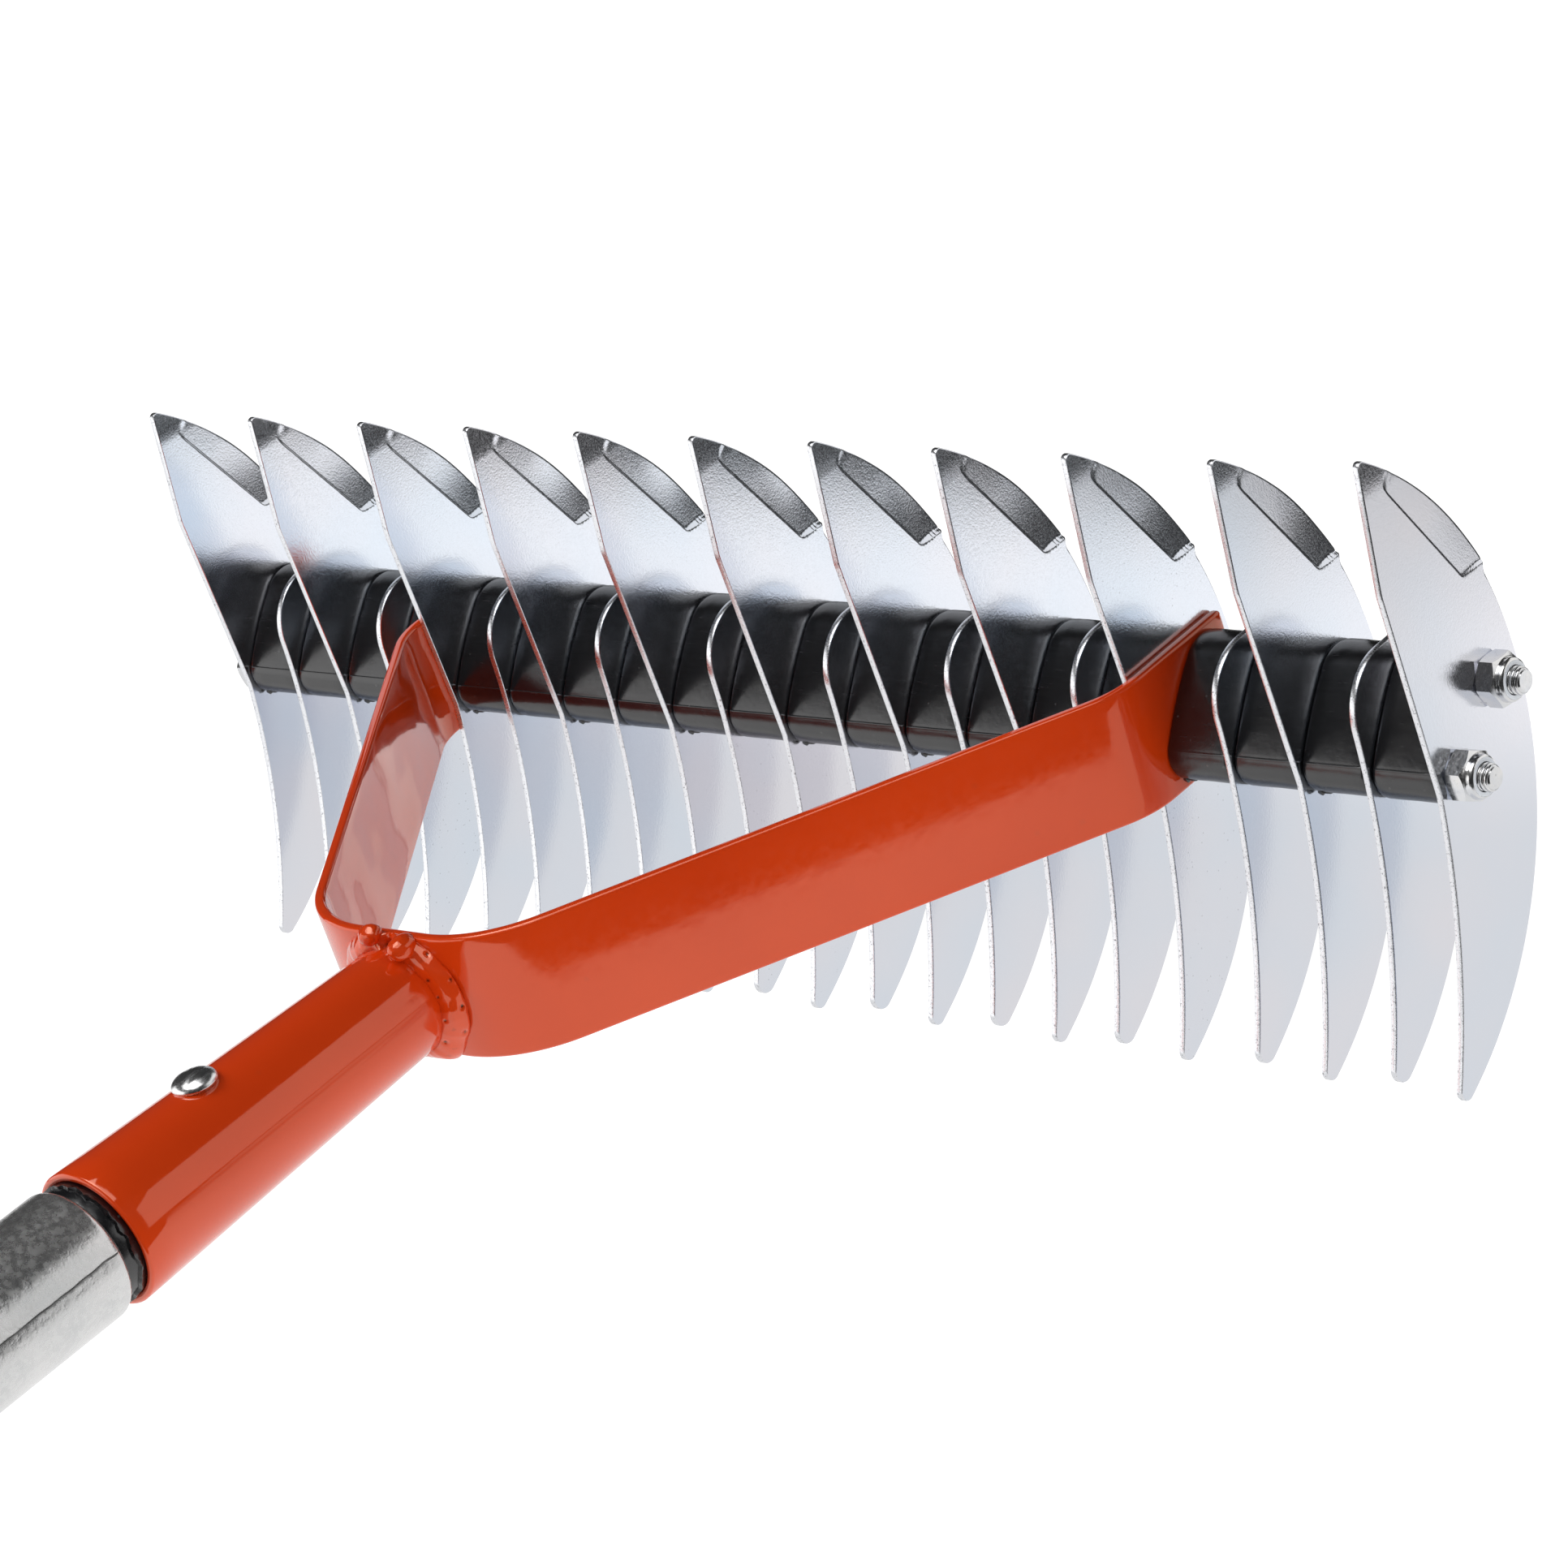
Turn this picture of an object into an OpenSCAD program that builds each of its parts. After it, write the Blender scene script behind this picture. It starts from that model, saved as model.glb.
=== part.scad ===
// Thatch rake: a row of steel blades on two tie bolts, carried by a bent flat-bar yoke,
// with a conical socket and a tube handle.
// Handle along Y with the blade row at +Y, tie bolts along X, teeth pointing down.

/* [Blade row] */
// Thickness of the blade sheet
blade_t = 1.5; // [1:0.1:2.5]
// Length of the spacer between two blades
spacer_len = 16; // [12:0.5:24]
// Distance between the two tie bolts
bolt_gap = 20.6; // [19:0.1:26]
// Slant of the line through the two bolts, above the handle's direction
bolt_slant = 37.4; // [32:0.1:42]

/* [Blades] */
// Radius of the outer, far edge of a blade
far_r = 79; // [75:0.5:84]
// How far the far edge reaches past the middle of the bolts
far_reach = 17.6; // [16.5:0.1:21]
// Height of the farthest point of the far edge above the middle of the bolts
far_z = 5; // [2:0.1:8]
// Radius of the hollow edge on the user's side
near_r = 160; // [145:1:180]
// How far the hollow edge lies behind the middle of the bolts
near_back = 14; // [13.4:0.1:14.6]
// Height of the hollow edge's foremost point above the middle of the bolts
near_z = 9.9; // [7:0.1:13]
// Radius of the round end of the lower tooth
tooth_r = 2; // [1:0.1:3.5]
// How far the heel of the knife end stands behind the middle of the bolts
heel_back = 16.5; // [15.8:0.1:17.5]
// Height of the heel of the knife end above the middle of the bolts
heel_z = 36.8; // [34:0.1:40]
// Lean of the knife's straight back, away from the user
heel_lean = 7.4; // [6:0.1:10]
// Radius of the round on the heel
heel_r = 14; // [8:0.5:20]
// Radius of the upper point
point_r = 1.2; // [0.8:0.1:2]
// Height of the upper point above the middle of the bolts
tip_z = 63.9; // [61:0.1:66]
// Radius of the knife's outer edge
knife_r = 75; // [70:0.5:82]
// Height of the half blade's upper edge above the middle of the bolts
half_top_z = 17.2; // [16:0.1:19]
// Radius of the half blade's upper corners
half_top_r = 13; // [11:0.1:14]
// Radius of the round end of the half blade's tooth
half_tooth_r = 2.8; // [1:0.1:4]

/* [Coined edge] */
// Height of the coined zone's upper end above the middle of the bolts
coin_top_z = 57.3; // [54:0.1:61]
// Distance of the coined zone's upper end from the knife's back
coin_top_in = 5.2; // [3.5:0.1:6]
// Height of the coined zone's lower end above the middle of the bolts
coin_low_z = 23.5; // [22:0.1:28]
// Width of the coined zone at its lower end
coin_low_w = 4.5; // [3:0.1:6]
// Radius of the coined zone's lower inner corner
coin_round = 4; // [2:0.1:5]
// Depth of the coined zone at its inner line
coin_step = 0.15; // [0.1:0.05:0.3]
// Slope of the coined zone, towards the edge
coin_slope = 5; // [2:0.5:6]
// How far the knife's outer edge stands past the far edge at its lower end
coin_swell = 1.4; // [0.5:0.1:2]
// Length of the flare between the far edge and the knife's outer edge
flare_len = 5; // [3:0.1:7]

/* [Spacers] */
// Radius of the spacer's wide end
spacer_wide_r = 8.7; // [8:0.1:9.5]
// How far the wide end's centre lies inside the upper bolt
spacer_wide_in = 3; // [2:0.1:3.5]
// Radius of the spacer's narrow end
spacer_narrow_r = 6; // [5.5:0.1:7]

/* [Tie bolts and nuts] */
// Thread diameter of the tie bolts
bolt_d = 6; // [5:0.1:6.5]
// Clearance of the bolt holes, across the diameter
bolt_clear = 0.4; // [0.2:0.1:0.8]
// Width of the bolt head and of the nut, across flats
hex_af = 10; // [9.5:0.1:11]
// Height of the bolt head
head_h = 4; // [3:0.1:5]
// Height of the nut's hexagon
nut_hex_h = 4.4; // [3:0.1:6]
// Height of the nut's collar above the hexagon
nut_collar_h = 1.7; // [1.2:0.1:3]
// Outer diameter of the nut's collar
nut_collar_d = 9; // [8.6:0.1:9.4]
// Wall of the nut's collar round the nylon ring
nut_collar_wall = 0.6; // [0.3:0.1:0.8]
// Clearance between thread and nut, across the diameter
thread_clear = 0.1; // [0.05:0.01:0.2]
// How far the thread stands out of the nut
thread_out = 2.6; // [1:0.1:5]
// Chamfer on the thread's end
thread_chamfer = 0.6; // [0.3:0.1:1]

/* [Yoke] */
// Width of the yoke's flat bar
bar_w = 28.5; // [27.5:0.5:32]
// Thickness of the yoke's flat bar
bar_t = 2.5; // [2:0.1:4]
// How far the ears reach ahead of the middle of the bolts
ear_front = 14; // [13:0.5:16]
// How far behind the middle of the bolts the ears turn into the arms
ear_back = 20.8; // [18.5:0.1:24]
// Outer radius of the bend between ear and arm
ear_bend_r = 20; // [12:1:28]
// How far the base lies behind the middle of the bolts
base_back = 134; // [120:1:160]
// Length of the base between the lines of the two arms
base_len = 50; // [46:0.5:60]
// Outer radius of the bend between base and arm
base_bend_r = 30; // [20:1:36]

/* [Socket and weld] */
// Length of the socket
socket_len = 91.5; // [80:0.5:110]
// Outer diameter of the socket at its mouth
mouth_d = 30.5; // [29.5:0.1:32]
// Outer diameter of the socket at the yoke
root_d = 24; // [23:0.1:26]
// Wall of the socket
socket_wall = 1.8; // [1.5:0.1:2.2]
// Width of the weld on the yoke's bar
weld_bar_leg = 5.5; // [4:0.1:6]
// Width of the weld on the socket
weld_tube_leg = 3.5; // [2:0.1:5]
// Height of the weld's crown above the bar, halfway out
weld_crown = 2.3; // [1.8:0.1:2.6]

/* [Handle] */
// Outer diameter of the handle
handle_d = 29; // [27:0.1:30]
// Wall of the handle tube
handle_wall = 1.2; // [0.9:0.1:1.6]
// Length of the handle behind its shoulder
handle_len = 1240; // [900:10:1500]
// Radius of the round shoulder
shoulder_r = 2.2; // [1:0.1:2.6]
// Gap between the socket's mouth and the handle's shoulder
shoulder_gap = 3.8; // [2:0.1:6]
// How far the neck stops short of the yoke
neck_stop = 11.5; // [6:0.5:30]
// Wall of the liner between socket and neck
liner_wall = 1.6; // [1:0.1:2]
// Clearance on each side of the liner
liner_clear = 0.1; // [0.05:0.01:0.2]
// How much farther than the neck the liner reaches into the socket
liner_past = 2; // [0:0.5:5]

/* [Rivet] */
// Distance of the rivet from the socket's mouth
rivet_in = 35; // [25:0.5:45]
// Diameter of the rivet's shank
rivet_d = 5; // [4:0.1:6]
// Clearance of the rivet's holes, across the diameter
rivet_clear = 0.2; // [0.1:0.05:0.4]
// Diameter of the rivet's head
rivet_head_d = 9.8; // [9:0.1:12]
// Height of the rivet's head
rivet_head_h = 2.6; // [2:0.1:3.5]
// Diameter of the rivet's spread foot inside the neck
rivet_foot_d = 7.2; // [6.4:0.1:8]
// Height of the rivet's spread foot
rivet_foot_h = 3; // [2:0.1:4]

/* [End cap] */
// Length of the cap's plug inside the handle
plug_len = 25; // [15:1:40]
// Clearance between plug and handle, across the diameter
plug_clear = 0.2; // [0.1:0.05:0.4]
// Thickness of the cap's flange
flange_t = 4; // [2:0.5:8]
// Width of the hanging tab
tab_w = 22; // [18:0.5:24]
// Thickness of the hanging tab
tab_t = 12; // [8:0.5:15]
// Distance of the hanging hole from the flange
hang_out = 12; // [11:0.5:20]
// Diameter of the hanging hole
hang_d = 9; // [6:0.5:11]

/* [Hidden] */
// Eleven full blades, counted from -10 to 10 in half steps with the half blades between
full_count = 11;
half_count = full_count - 1;
spacer_count = 2 * half_count;
last_step = half_count;
// The ears bear on the outer faces of the third blade from each end
ear_step = last_step - 4;
step_len = blade_t + spacer_len;
round_fn = 64;
// Greatest gap between a curve and its chords
arc_gap = 0.02;
cut_over = 1;

// Middle plane of the blade at a half step, with room for the ears
function blade_x(k) = k * step_len + (k > ear_step ? bar_t : 0) - (k < -ear_step ? bar_t : 0);

bolt_reach = bolt_gap / 2;
bolt_y = bolt_reach * cos(bolt_slant);
bolt_z = bolt_reach * sin(bolt_slant);
hole_d = bolt_d + bolt_clear;
row_end = blade_x(last_step) + blade_t / 2;
nut_h = nut_hex_h + nut_collar_h;
bolt_end = row_end + nut_h + thread_out;

// Socket, handle and cap run back along Y from the yoke's base
mouth_y = -base_back - socket_len;
shoulder_y = mouth_y - shoulder_gap;
handle_end_y = shoulder_y - handle_len;
tab_end_y = handle_end_y - flange_t - hang_out - tab_w / 2;
rivet_y = mouth_y + rivet_in;

// Arcs and rounded corners
function polar(c, r, a) = c + r * [cos(a), sin(a)];
function angle_of(v) = atan2(v[1], v[0]);
function arc_count(r, a0, a1) = max(2, ceil(abs(a1 - a0) / (2 * acos(1 - arc_gap / r))));
function arc(c, r, a0, a1) =
    let (n = arc_count(r, a0, a1))
    [for (i = [0:n]) polar(c, r, a0 + (a1 - a0) * i / n)];
function unit(v) = v / norm(v);
function turn(a, b) = angle_of([a * b, a[0] * b[1] - a[1] * b[0]]);

// Round of radius r at corner p between the lines to p0 and p2
function fillet(p0, p, p2, r) =
    let (
        u = unit(p - p0),
        w = unit(p2 - p),
        bend = turn(u, w),
        side = sign(bend),
        start = p - u * r * tan(abs(bend) / 2),
        c = start + side * r * [-u[1], u[0]],
        a0 = angle_of(start - c)
    )
    arc(c, r, a0, a0 + bend);

// Lower or upper meeting point of two circles
function meet(c1, r1, c2, r2, side) =
    let (
        d = norm(c2 - c1),
        e = (c2 - c1) / d,
        along = (r1 * r1 - r2 * r2 + d * d) / (2 * d),
        off = sqrt(r1 * r1 - along * along)
    )
    c1 + along * e + side * off * [-e[1], e[0]];

// Blade outline in (Y, Z), about the middle of the bolts
far_c = [far_reach - far_r, far_z];
near_c = [-near_back - near_r, near_z];
heel = [-heel_back, heel_z];
lean_dir = [sin(heel_lean), cos(heel_lean)];
lean_in = [cos(heel_lean), -sin(heel_lean)];

// Centre of the round tooth end, touching both edges
function tooth_c(r) = meet(far_c, far_r - r, near_c, near_r + r, 1);

// Centre of the upper point, touching the knife's back
point_along = (tip_z - point_r - heel_z + point_r * sin(heel_lean)) / cos(heel_lean);
point_c = heel + point_r * lean_in + point_along * lean_dir;

// The hollow edge meets the heel's lower flank level with the upper bolt
waist = [near_c[0] + sqrt(near_r * near_r - pow(bolt_z - near_z, 2)), bolt_z];
waist_a = angle_of(waist - near_c);
// Angle of the hollow edge, below the waist, over which the flank runs into it
waist_blend = 5;

// Coined zone: inner line from coin_top to coin_low, and the notch where the flare begins
coin_top = heel + (coin_top_z - heel_z) * [tan(heel_lean), 1] + [coin_top_in, 0];
coin_low = [far_c[0] + sqrt(far_r * far_r - pow(coin_low_z - far_z, 2)) - coin_low_w, coin_low_z];
coin_a = angle_of(coin_top - coin_low) - 90;
notch_z = coin_low_z + coin_low_w * tan(coin_a);
notch_a = asin((notch_z - far_z) / far_r);

// The knife's outer edge runs from the end of the flare to the upper point
knife_low = polar(far_c, far_r + coin_swell, notch_a + flare_len / far_r * 180 / PI);
knife_c = meet(knife_low, knife_r, point_c, knife_r - point_r, 1);

// Lower tooth from the hollow edge round its tip to the far edge
function tooth(r) =
    let (
        c = tooth_c(r),
        a_near = angle_of(near_c - c) - 360 * (angle_of(near_c - c) > 0 ? 1 : 0),
        a_far = angle_of(c - far_c)
    )
    arc(c, r, a_near, a_far);

function near_edge(a_up, r) =
    let (a_low = angle_of(tooth_c(r) - near_c))
    arc(near_c, near_r, a_up, a_low);

full_outline = concat(
    near_edge(waist_a - waist_blend, tooth_r),
    tooth(tooth_r),
    arc(far_c, far_r, angle_of(tooth_c(tooth_r) - far_c), notch_a),
    arc(knife_c, knife_r, angle_of(knife_low - knife_c), angle_of(point_c - knife_c)),
    arc(point_c, point_r, angle_of(point_c - knife_c), 180 - heel_lean),
    fillet(point_c - point_r * lean_in, heel, waist, heel_r)
);

// Upper corners of the half blade
half_c_z = half_top_z - half_top_r;
half_far_c = [far_c[0] + sqrt(pow(far_r - half_top_r, 2) - pow(half_c_z - far_z, 2)), half_c_z];
half_near_c = [near_c[0] + sqrt(pow(near_r + half_top_r, 2) - pow(half_c_z - near_z, 2)), half_c_z];

half_outline = concat(
    near_edge(angle_of(half_near_c - near_c), half_tooth_r),
    tooth(half_tooth_r),
    arc(far_c, far_r, angle_of(tooth_c(half_tooth_r) - far_c), angle_of(half_far_c - far_c)),
    arc(half_far_c, half_top_r, angle_of(half_far_c - far_c), 90),
    arc(half_near_c, half_top_r, 90, 180 + angle_of(half_near_c - near_c))
);

// Frame: origin under the middle of the whole rake, on the floor under the teeth
low_z = tooth_c(tooth_r)[1] - tooth_r;
mid_x = (bolt_end - row_end - head_h) / 2;
mid_y = (far_reach + tab_end_y) / 2;
module in_frame() {
    translate([-mid_x, -mid_y, -low_z]) children();
}

// A sheet of thickness t with its outline in (Y, Z) and its middle at x
module sheet(x, t) {
    translate([x - t / 2, 0, 0]) rotate([90, 0, 90]) linear_extrude(t) children();
}

module along_x(x, y, z, len, d) {
    translate([x, y, z]) rotate([0, 90, 0]) cylinder(d = d, h = len, $fn = round_fn);
}

module along_y() {
    rotate([90, 0, 0]) rotate_extrude($fn = round_fn) children();
}

// Sign +1 is the upper bolt, -1 the lower bolt
module bolt_holes(x, len) {
    for (s = [-1, 1]) along_x(x, s * bolt_y, s * bolt_z, len, hole_d);
}

// Wedge that the coining presses out of the blade's right-hand face
module coin_cut(x) {
    reach = 2 * far_r;
    corner = fillet([0, reach], [0, 0], [reach, 0], coin_round);
    translate([x + blade_t / 2 - coin_step, coin_low[0], coin_low[1]])
        rotate([coin_a, 0, 0])
            intersection() {
                rotate([0, 0, coin_slope]) translate([0, 0, -reach / 2]) cube([reach, reach, reach]);
                sheet(0, reach) polygon(concat(corner, [[reach, 0], [reach, reach], [0, reach]]));
            }
}

module full_blade(k) {
    x = blade_x(k);
    color([0.78, 0.81, 0.85])
        in_frame() difference() {
            sheet(x, blade_t) polygon(full_outline);
            bolt_holes(x - blade_t, 2 * blade_t);
            coin_cut(x);
        }
}

module half_blade(k) {
    x = blade_x(k);
    color([0.74, 0.77, 0.81])
        in_frame() difference() {
            sheet(x, blade_t) polygon(half_outline);
            bolt_holes(x - blade_t, 2 * blade_t);
        }
}

// Egg-shaped section: a wide round near the upper bolt and a narrow one at the lower bolt
spacer_span = bolt_gap - spacer_wide_in;
spacer_open = asin((spacer_wide_r - spacer_narrow_r) / spacer_span);
spacer_outline = concat(
    arc([spacer_span, 0], spacer_wide_r, -90 - spacer_open, 90 + spacer_open),
    arc([0, 0], spacer_narrow_r, 90 + spacer_open, 270 - spacer_open)
);

// Spacers are counted from the left; on the right the ear comes before the spacer
module spacer(i) {
    k = i - last_step - 1;
    x0 = blade_x(k) + blade_t / 2 + (k == ear_step ? bar_t : 0);
    color([0.08, 0.08, 0.09])
        in_frame() difference() {
            translate([x0, -bolt_y, -bolt_z]) rotate([90, 0, 90]) rotate(bolt_slant)
                linear_extrude(spacer_len) polygon(spacer_outline);
            bolt_holes(x0 - cut_over, spacer_len + 2 * cut_over);
        }
}

// Hex bolt from the head at the left end to the thread end past the nut
module tie_bolt(s) {
    len = bolt_end + row_end;
    color([0.70, 0.72, 0.75])
        in_frame() translate([-row_end, s * bolt_y, s * bolt_z]) rotate([0, 90, 0]) {
            translate([0, 0, -head_h]) cylinder(d = hex_af / cos(30), h = head_h, $fn = 6);
            cylinder(d = bolt_d, h = len - thread_chamfer, $fn = round_fn);
            translate([0, 0, len - thread_chamfer])
                cylinder(d1 = bolt_d, d2 = bolt_d - 2 * thread_chamfer, h = thread_chamfer, $fn = round_fn);
        }
}

nut_bore_d = bolt_d + thread_clear;
ring_d = nut_collar_d - 2 * nut_collar_wall;

module lock_nuts() {
    color([0.80, 0.82, 0.84])
        in_frame() for (s = [-1, 1])
            translate([row_end, s * bolt_y, s * bolt_z]) rotate([0, 90, 0]) difference() {
                union() {
                    cylinder(d = hex_af / cos(30), h = nut_hex_h, $fn = 6);
                    cylinder(d = nut_collar_d, h = nut_h, $fn = round_fn);
                }
                translate([0, 0, -cut_over])
                    cylinder(d = nut_bore_d, h = nut_h + 2 * cut_over, $fn = round_fn);
                translate([0, 0, nut_hex_h]) cylinder(d = ring_d, h = nut_h, $fn = round_fn);
            }
}

module nylon_rings() {
    color([0.85, 0.88, 0.92])
        in_frame() for (s = [-1, 1])
            translate([row_end + nut_hex_h, s * bolt_y, s * bolt_z]) rotate([0, 90, 0]) difference() {
                cylinder(d = ring_d, h = nut_collar_h, $fn = round_fn);
                translate([0, 0, -cut_over])
                    cylinder(d = nut_bore_d, h = nut_collar_h + 2 * cut_over, $fn = round_fn);
            }
}

// Yoke bar in plan: corners of its outer face from the middle of the base to the right ear
ear_out = blade_x(ear_step) + blade_t / 2 + bar_t;
yoke_corners = [[0, -base_back], [base_len / 2, -base_back], [ear_out, -ear_back], [ear_out, ear_front]];

// The corner at i, moved in by d
function inset_corner(i, d) =
    let (
        u = unit(yoke_corners[i] - yoke_corners[i - 1]),
        w = unit(yoke_corners[i + 1] - yoke_corners[i]),
        m = [-u[1], u[0]] + [-w[1], w[0]]
    )
    yoke_corners[i] + 2 * d * m / (m * m);

// Right half of one face of the bar, d in from the outer face
function bar_face(d) =
    let (
        p0 = yoke_corners[0] + [0, d],
        p1 = inset_corner(1, d),
        p2 = inset_corner(2, d),
        p3 = yoke_corners[3] - [d, 0]
    )
    concat(fillet(p0, p1, p2, base_bend_r - d), fillet(p1, p2, p3, ear_bend_r - d), [p3]);

function mirrored(points) = [for (i = [len(points) - 1:-1:0]) [-points[i][0], points[i][1]]];
function reversed(points) = [for (i = [len(points) - 1:-1:0]) points[i]];

module yoke() {
    color([0.85, 0.30, 0.08])
        in_frame() difference() {
            translate([0, 0, -bar_w / 2]) linear_extrude(bar_w)
                polygon(concat(
                    mirrored(bar_face(0)), bar_face(0),
                    reversed(bar_face(bar_t)), reversed(mirrored(bar_face(bar_t)))
                ));
            for (s = [-1, 1]) bolt_holes(s * (ear_out - bar_t / 2) - bar_t, 2 * bar_t);
        }
}

// Outer radius of the socket at a distance back from the yoke
function socket_r(y) = (root_d + (mouth_d - root_d) * y / socket_len) / 2;
function bore_r(y) = socket_r(y) - socket_wall;

// The rivet's shank passes down through the upper walls of socket, liner and neck
module rivet_hole(d) {
    translate([0, rivet_y, 0]) cylinder(d = d, h = mouth_d, $fn = round_fn);
}

module socket() {
    rim = socket_wall / 2;
    color([0.85, 0.30, 0.08])
        in_frame() difference() {
            translate([0, -base_back, 0]) along_y() {
                polygon([
                    [bore_r(0), 0], [socket_r(0), 0],
                    [socket_r(socket_len - rim), socket_len - rim],
                    [bore_r(socket_len - rim), socket_len - rim]
                ]);
                translate([socket_r(socket_len - rim) - rim, socket_len - rim])
                    circle(r = rim, $fn = round_fn);
            }
            rivet_hole(rivet_d + rivet_clear);
        }
}

// Bead round the socket's root, cut level with the bar's edges
module weld_bead() {
    color([0.83, 0.28, 0.07])
        in_frame() intersection() {
            translate([0, -base_back, 0]) along_y()
                polygon([
                    [socket_r(0), 0], [socket_r(0) + weld_bar_leg, 0],
                    [socket_r(0) + weld_bar_leg / 2, weld_crown],
                    [socket_r(weld_tube_leg), weld_tube_leg]
                ]);
            cube([bar_w * 2, 4 * base_back, bar_w], center = true);
        }
}

// Liner sleeve, tapered to fit the socket's bore
neck_in = socket_len - neck_stop;
liner_end = neck_in + liner_past;
function liner_r(y) = bore_r(y) - liner_clear;
function neck_r(y) = liner_r(y) - liner_wall - liner_clear;

module handle_liner() {
    y0 = socket_len - liner_end;
    y1 = socket_len + shoulder_gap;
    color([0.06, 0.06, 0.06])
        in_frame() difference() {
            translate([0, -base_back, 0]) along_y()
                polygon([
                    [liner_r(y0) - liner_wall, y0], [liner_r(y0), y0],
                    [liner_r(socket_len), socket_len], [liner_r(socket_len), y1],
                    [liner_r(socket_len) - liner_wall, y1], [liner_r(socket_len) - liner_wall, socket_len]
                ]);
            rivet_hole(rivet_d + rivet_clear);
        }
}

// Tube handle, drawn down to a tapered neck at its front end
module handle_tube() {
    y0 = socket_len - neck_in;
    y1 = socket_len + shoulder_gap;
    y2 = y1 + handle_len;
    neck_end = neck_r(socket_len);
    out_r = handle_d / 2;
    color([0.45, 0.46, 0.47])
        in_frame() difference() {
            translate([0, -base_back, 0]) along_y()
                polygon(concat(
                    [[neck_r(y0), y0], [neck_end, socket_len], [neck_end, y1]],
                    arc([out_r - shoulder_r, y1 + shoulder_r], shoulder_r, -90, 0),
                    [[out_r, y2], [out_r - handle_wall, y2], [out_r - handle_wall, y1 + shoulder_r]],
                    [[neck_end - handle_wall, y1 + handle_wall], [neck_end - handle_wall, socket_len]],
                    [[neck_r(y0) - handle_wall, y0]]
                ));
            rivet_hole(rivet_d + rivet_clear);
        }
}

// Domed head that sits on the socket's round outside
module rivet_dome() {
    ball_r = (pow(rivet_head_d / 2, 2) + rivet_head_h * rivet_head_h) / (2 * rivet_head_h);
    intersection() {
        translate([0, 0, rivet_head_h - ball_r]) sphere(r = ball_r, $fn = round_fn);
        translate([0, 0, -rivet_head_h]) cylinder(d = rivet_head_d, h = 2 * rivet_head_h, $fn = round_fn);
    }
}

// Blind rivet: a head on the socket and a foot spread under the neck's upper wall
module rivet() {
    back = socket_len - rivet_in;
    seat = socket_r(back);
    foot = neck_r(back) - handle_wall - rivet_foot_h;
    inner_gap = handle_wall + rivet_clear / 2;
    color([0.80, 0.80, 0.80])
        in_frame() {
            translate([0, rivet_y, foot])
                cylinder(d = rivet_d, h = seat + rivet_head_h / 2 - foot, $fn = round_fn);
            difference() {
                translate([0, rivet_y, seat]) rivet_dome();
                translate([0, -base_back, 0]) rotate([90, 0, 0])
                    cylinder(d1 = root_d, d2 = mouth_d, h = socket_len, $fn = round_fn);
            }
            intersection() {
                translate([0, rivet_y, foot])
                    cylinder(d1 = rivet_d, d2 = rivet_foot_d, h = rivet_foot_h, $fn = round_fn);
                translate([0, -base_back, 0]) rotate([90, 0, 0])
                    cylinder(
                        r1 = neck_r(0) - inner_gap, r2 = neck_r(socket_len) - inner_gap,
                        h = socket_len, $fn = round_fn
                    );
            }
        }
}

module end_cap() {
    plug_d = handle_d - 2 * handle_wall - plug_clear;
    hang_y = -flange_t - hang_out;
    color([0.07, 0.07, 0.07])
        in_frame() translate([0, handle_end_y, 0]) difference() {
            union() {
                rotate([-90, 0, 0]) cylinder(d = plug_d, h = plug_len, $fn = round_fn);
                rotate([90, 0, 0]) cylinder(d = handle_d, h = flange_t, $fn = round_fn);
                translate([-tab_t / 2, hang_y, -tab_w / 2]) cube([tab_t, hang_out, tab_w]);
                along_x(-tab_t / 2, hang_y, 0, tab_t, tab_w);
            }
            along_x(-tab_t, hang_y, 0, 2 * tab_t, hang_d);
        }
}

function names(stem, n) = [for (i = [1:n]) str(stem, "_", i)];

for (i = [1:full_count])
    full_blade(2 * i - 2 - last_step);
for (i = [1:half_count])
    half_blade(2 * i - 1 - last_step);
for (i = [1:spacer_count])
    spacer(i);
tie_bolt(1);  // tie_bolt_upper
tie_bolt(-1);  // tie_bolt_lower
lock_nuts();
nylon_rings();
yoke();
socket();
weld_bead();
rivet();
handle_liner();
handle_tube();
end_cap();
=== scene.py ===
import math

import bmesh
import bpy
from mathutils import Matrix, Vector, noise


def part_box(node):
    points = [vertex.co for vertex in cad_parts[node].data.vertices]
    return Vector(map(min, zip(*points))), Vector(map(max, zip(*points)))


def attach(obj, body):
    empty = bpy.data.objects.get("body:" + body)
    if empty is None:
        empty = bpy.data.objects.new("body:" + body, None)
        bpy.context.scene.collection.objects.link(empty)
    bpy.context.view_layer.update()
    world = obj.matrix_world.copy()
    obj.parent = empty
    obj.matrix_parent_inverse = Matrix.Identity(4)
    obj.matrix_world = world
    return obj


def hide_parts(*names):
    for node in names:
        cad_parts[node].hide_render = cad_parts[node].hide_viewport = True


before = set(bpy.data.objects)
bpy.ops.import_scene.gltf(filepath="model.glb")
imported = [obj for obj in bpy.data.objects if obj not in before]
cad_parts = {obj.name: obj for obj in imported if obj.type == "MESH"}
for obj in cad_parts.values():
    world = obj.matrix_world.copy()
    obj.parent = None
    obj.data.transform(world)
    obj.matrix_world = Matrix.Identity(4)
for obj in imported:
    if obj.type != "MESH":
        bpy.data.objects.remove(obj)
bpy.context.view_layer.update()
scene = bpy.context.scene

# Node names, and the middle of the blade row between its two bolts
MM = 0.001
FULL_BLADES = [f"blade_{i}" for i in range(1, 12)]
HALF_BLADES = [f"half_blade_{i}" for i in range(1, 11)]
SPACERS = [f"spacer_{i}" for i in range(1, 21)]


def low(node):
    return Vector(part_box(node)[0])


def high(node):
    return Vector(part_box(node)[1])


def middle(node):
    return (low(node) + high(node)) / 2


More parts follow.
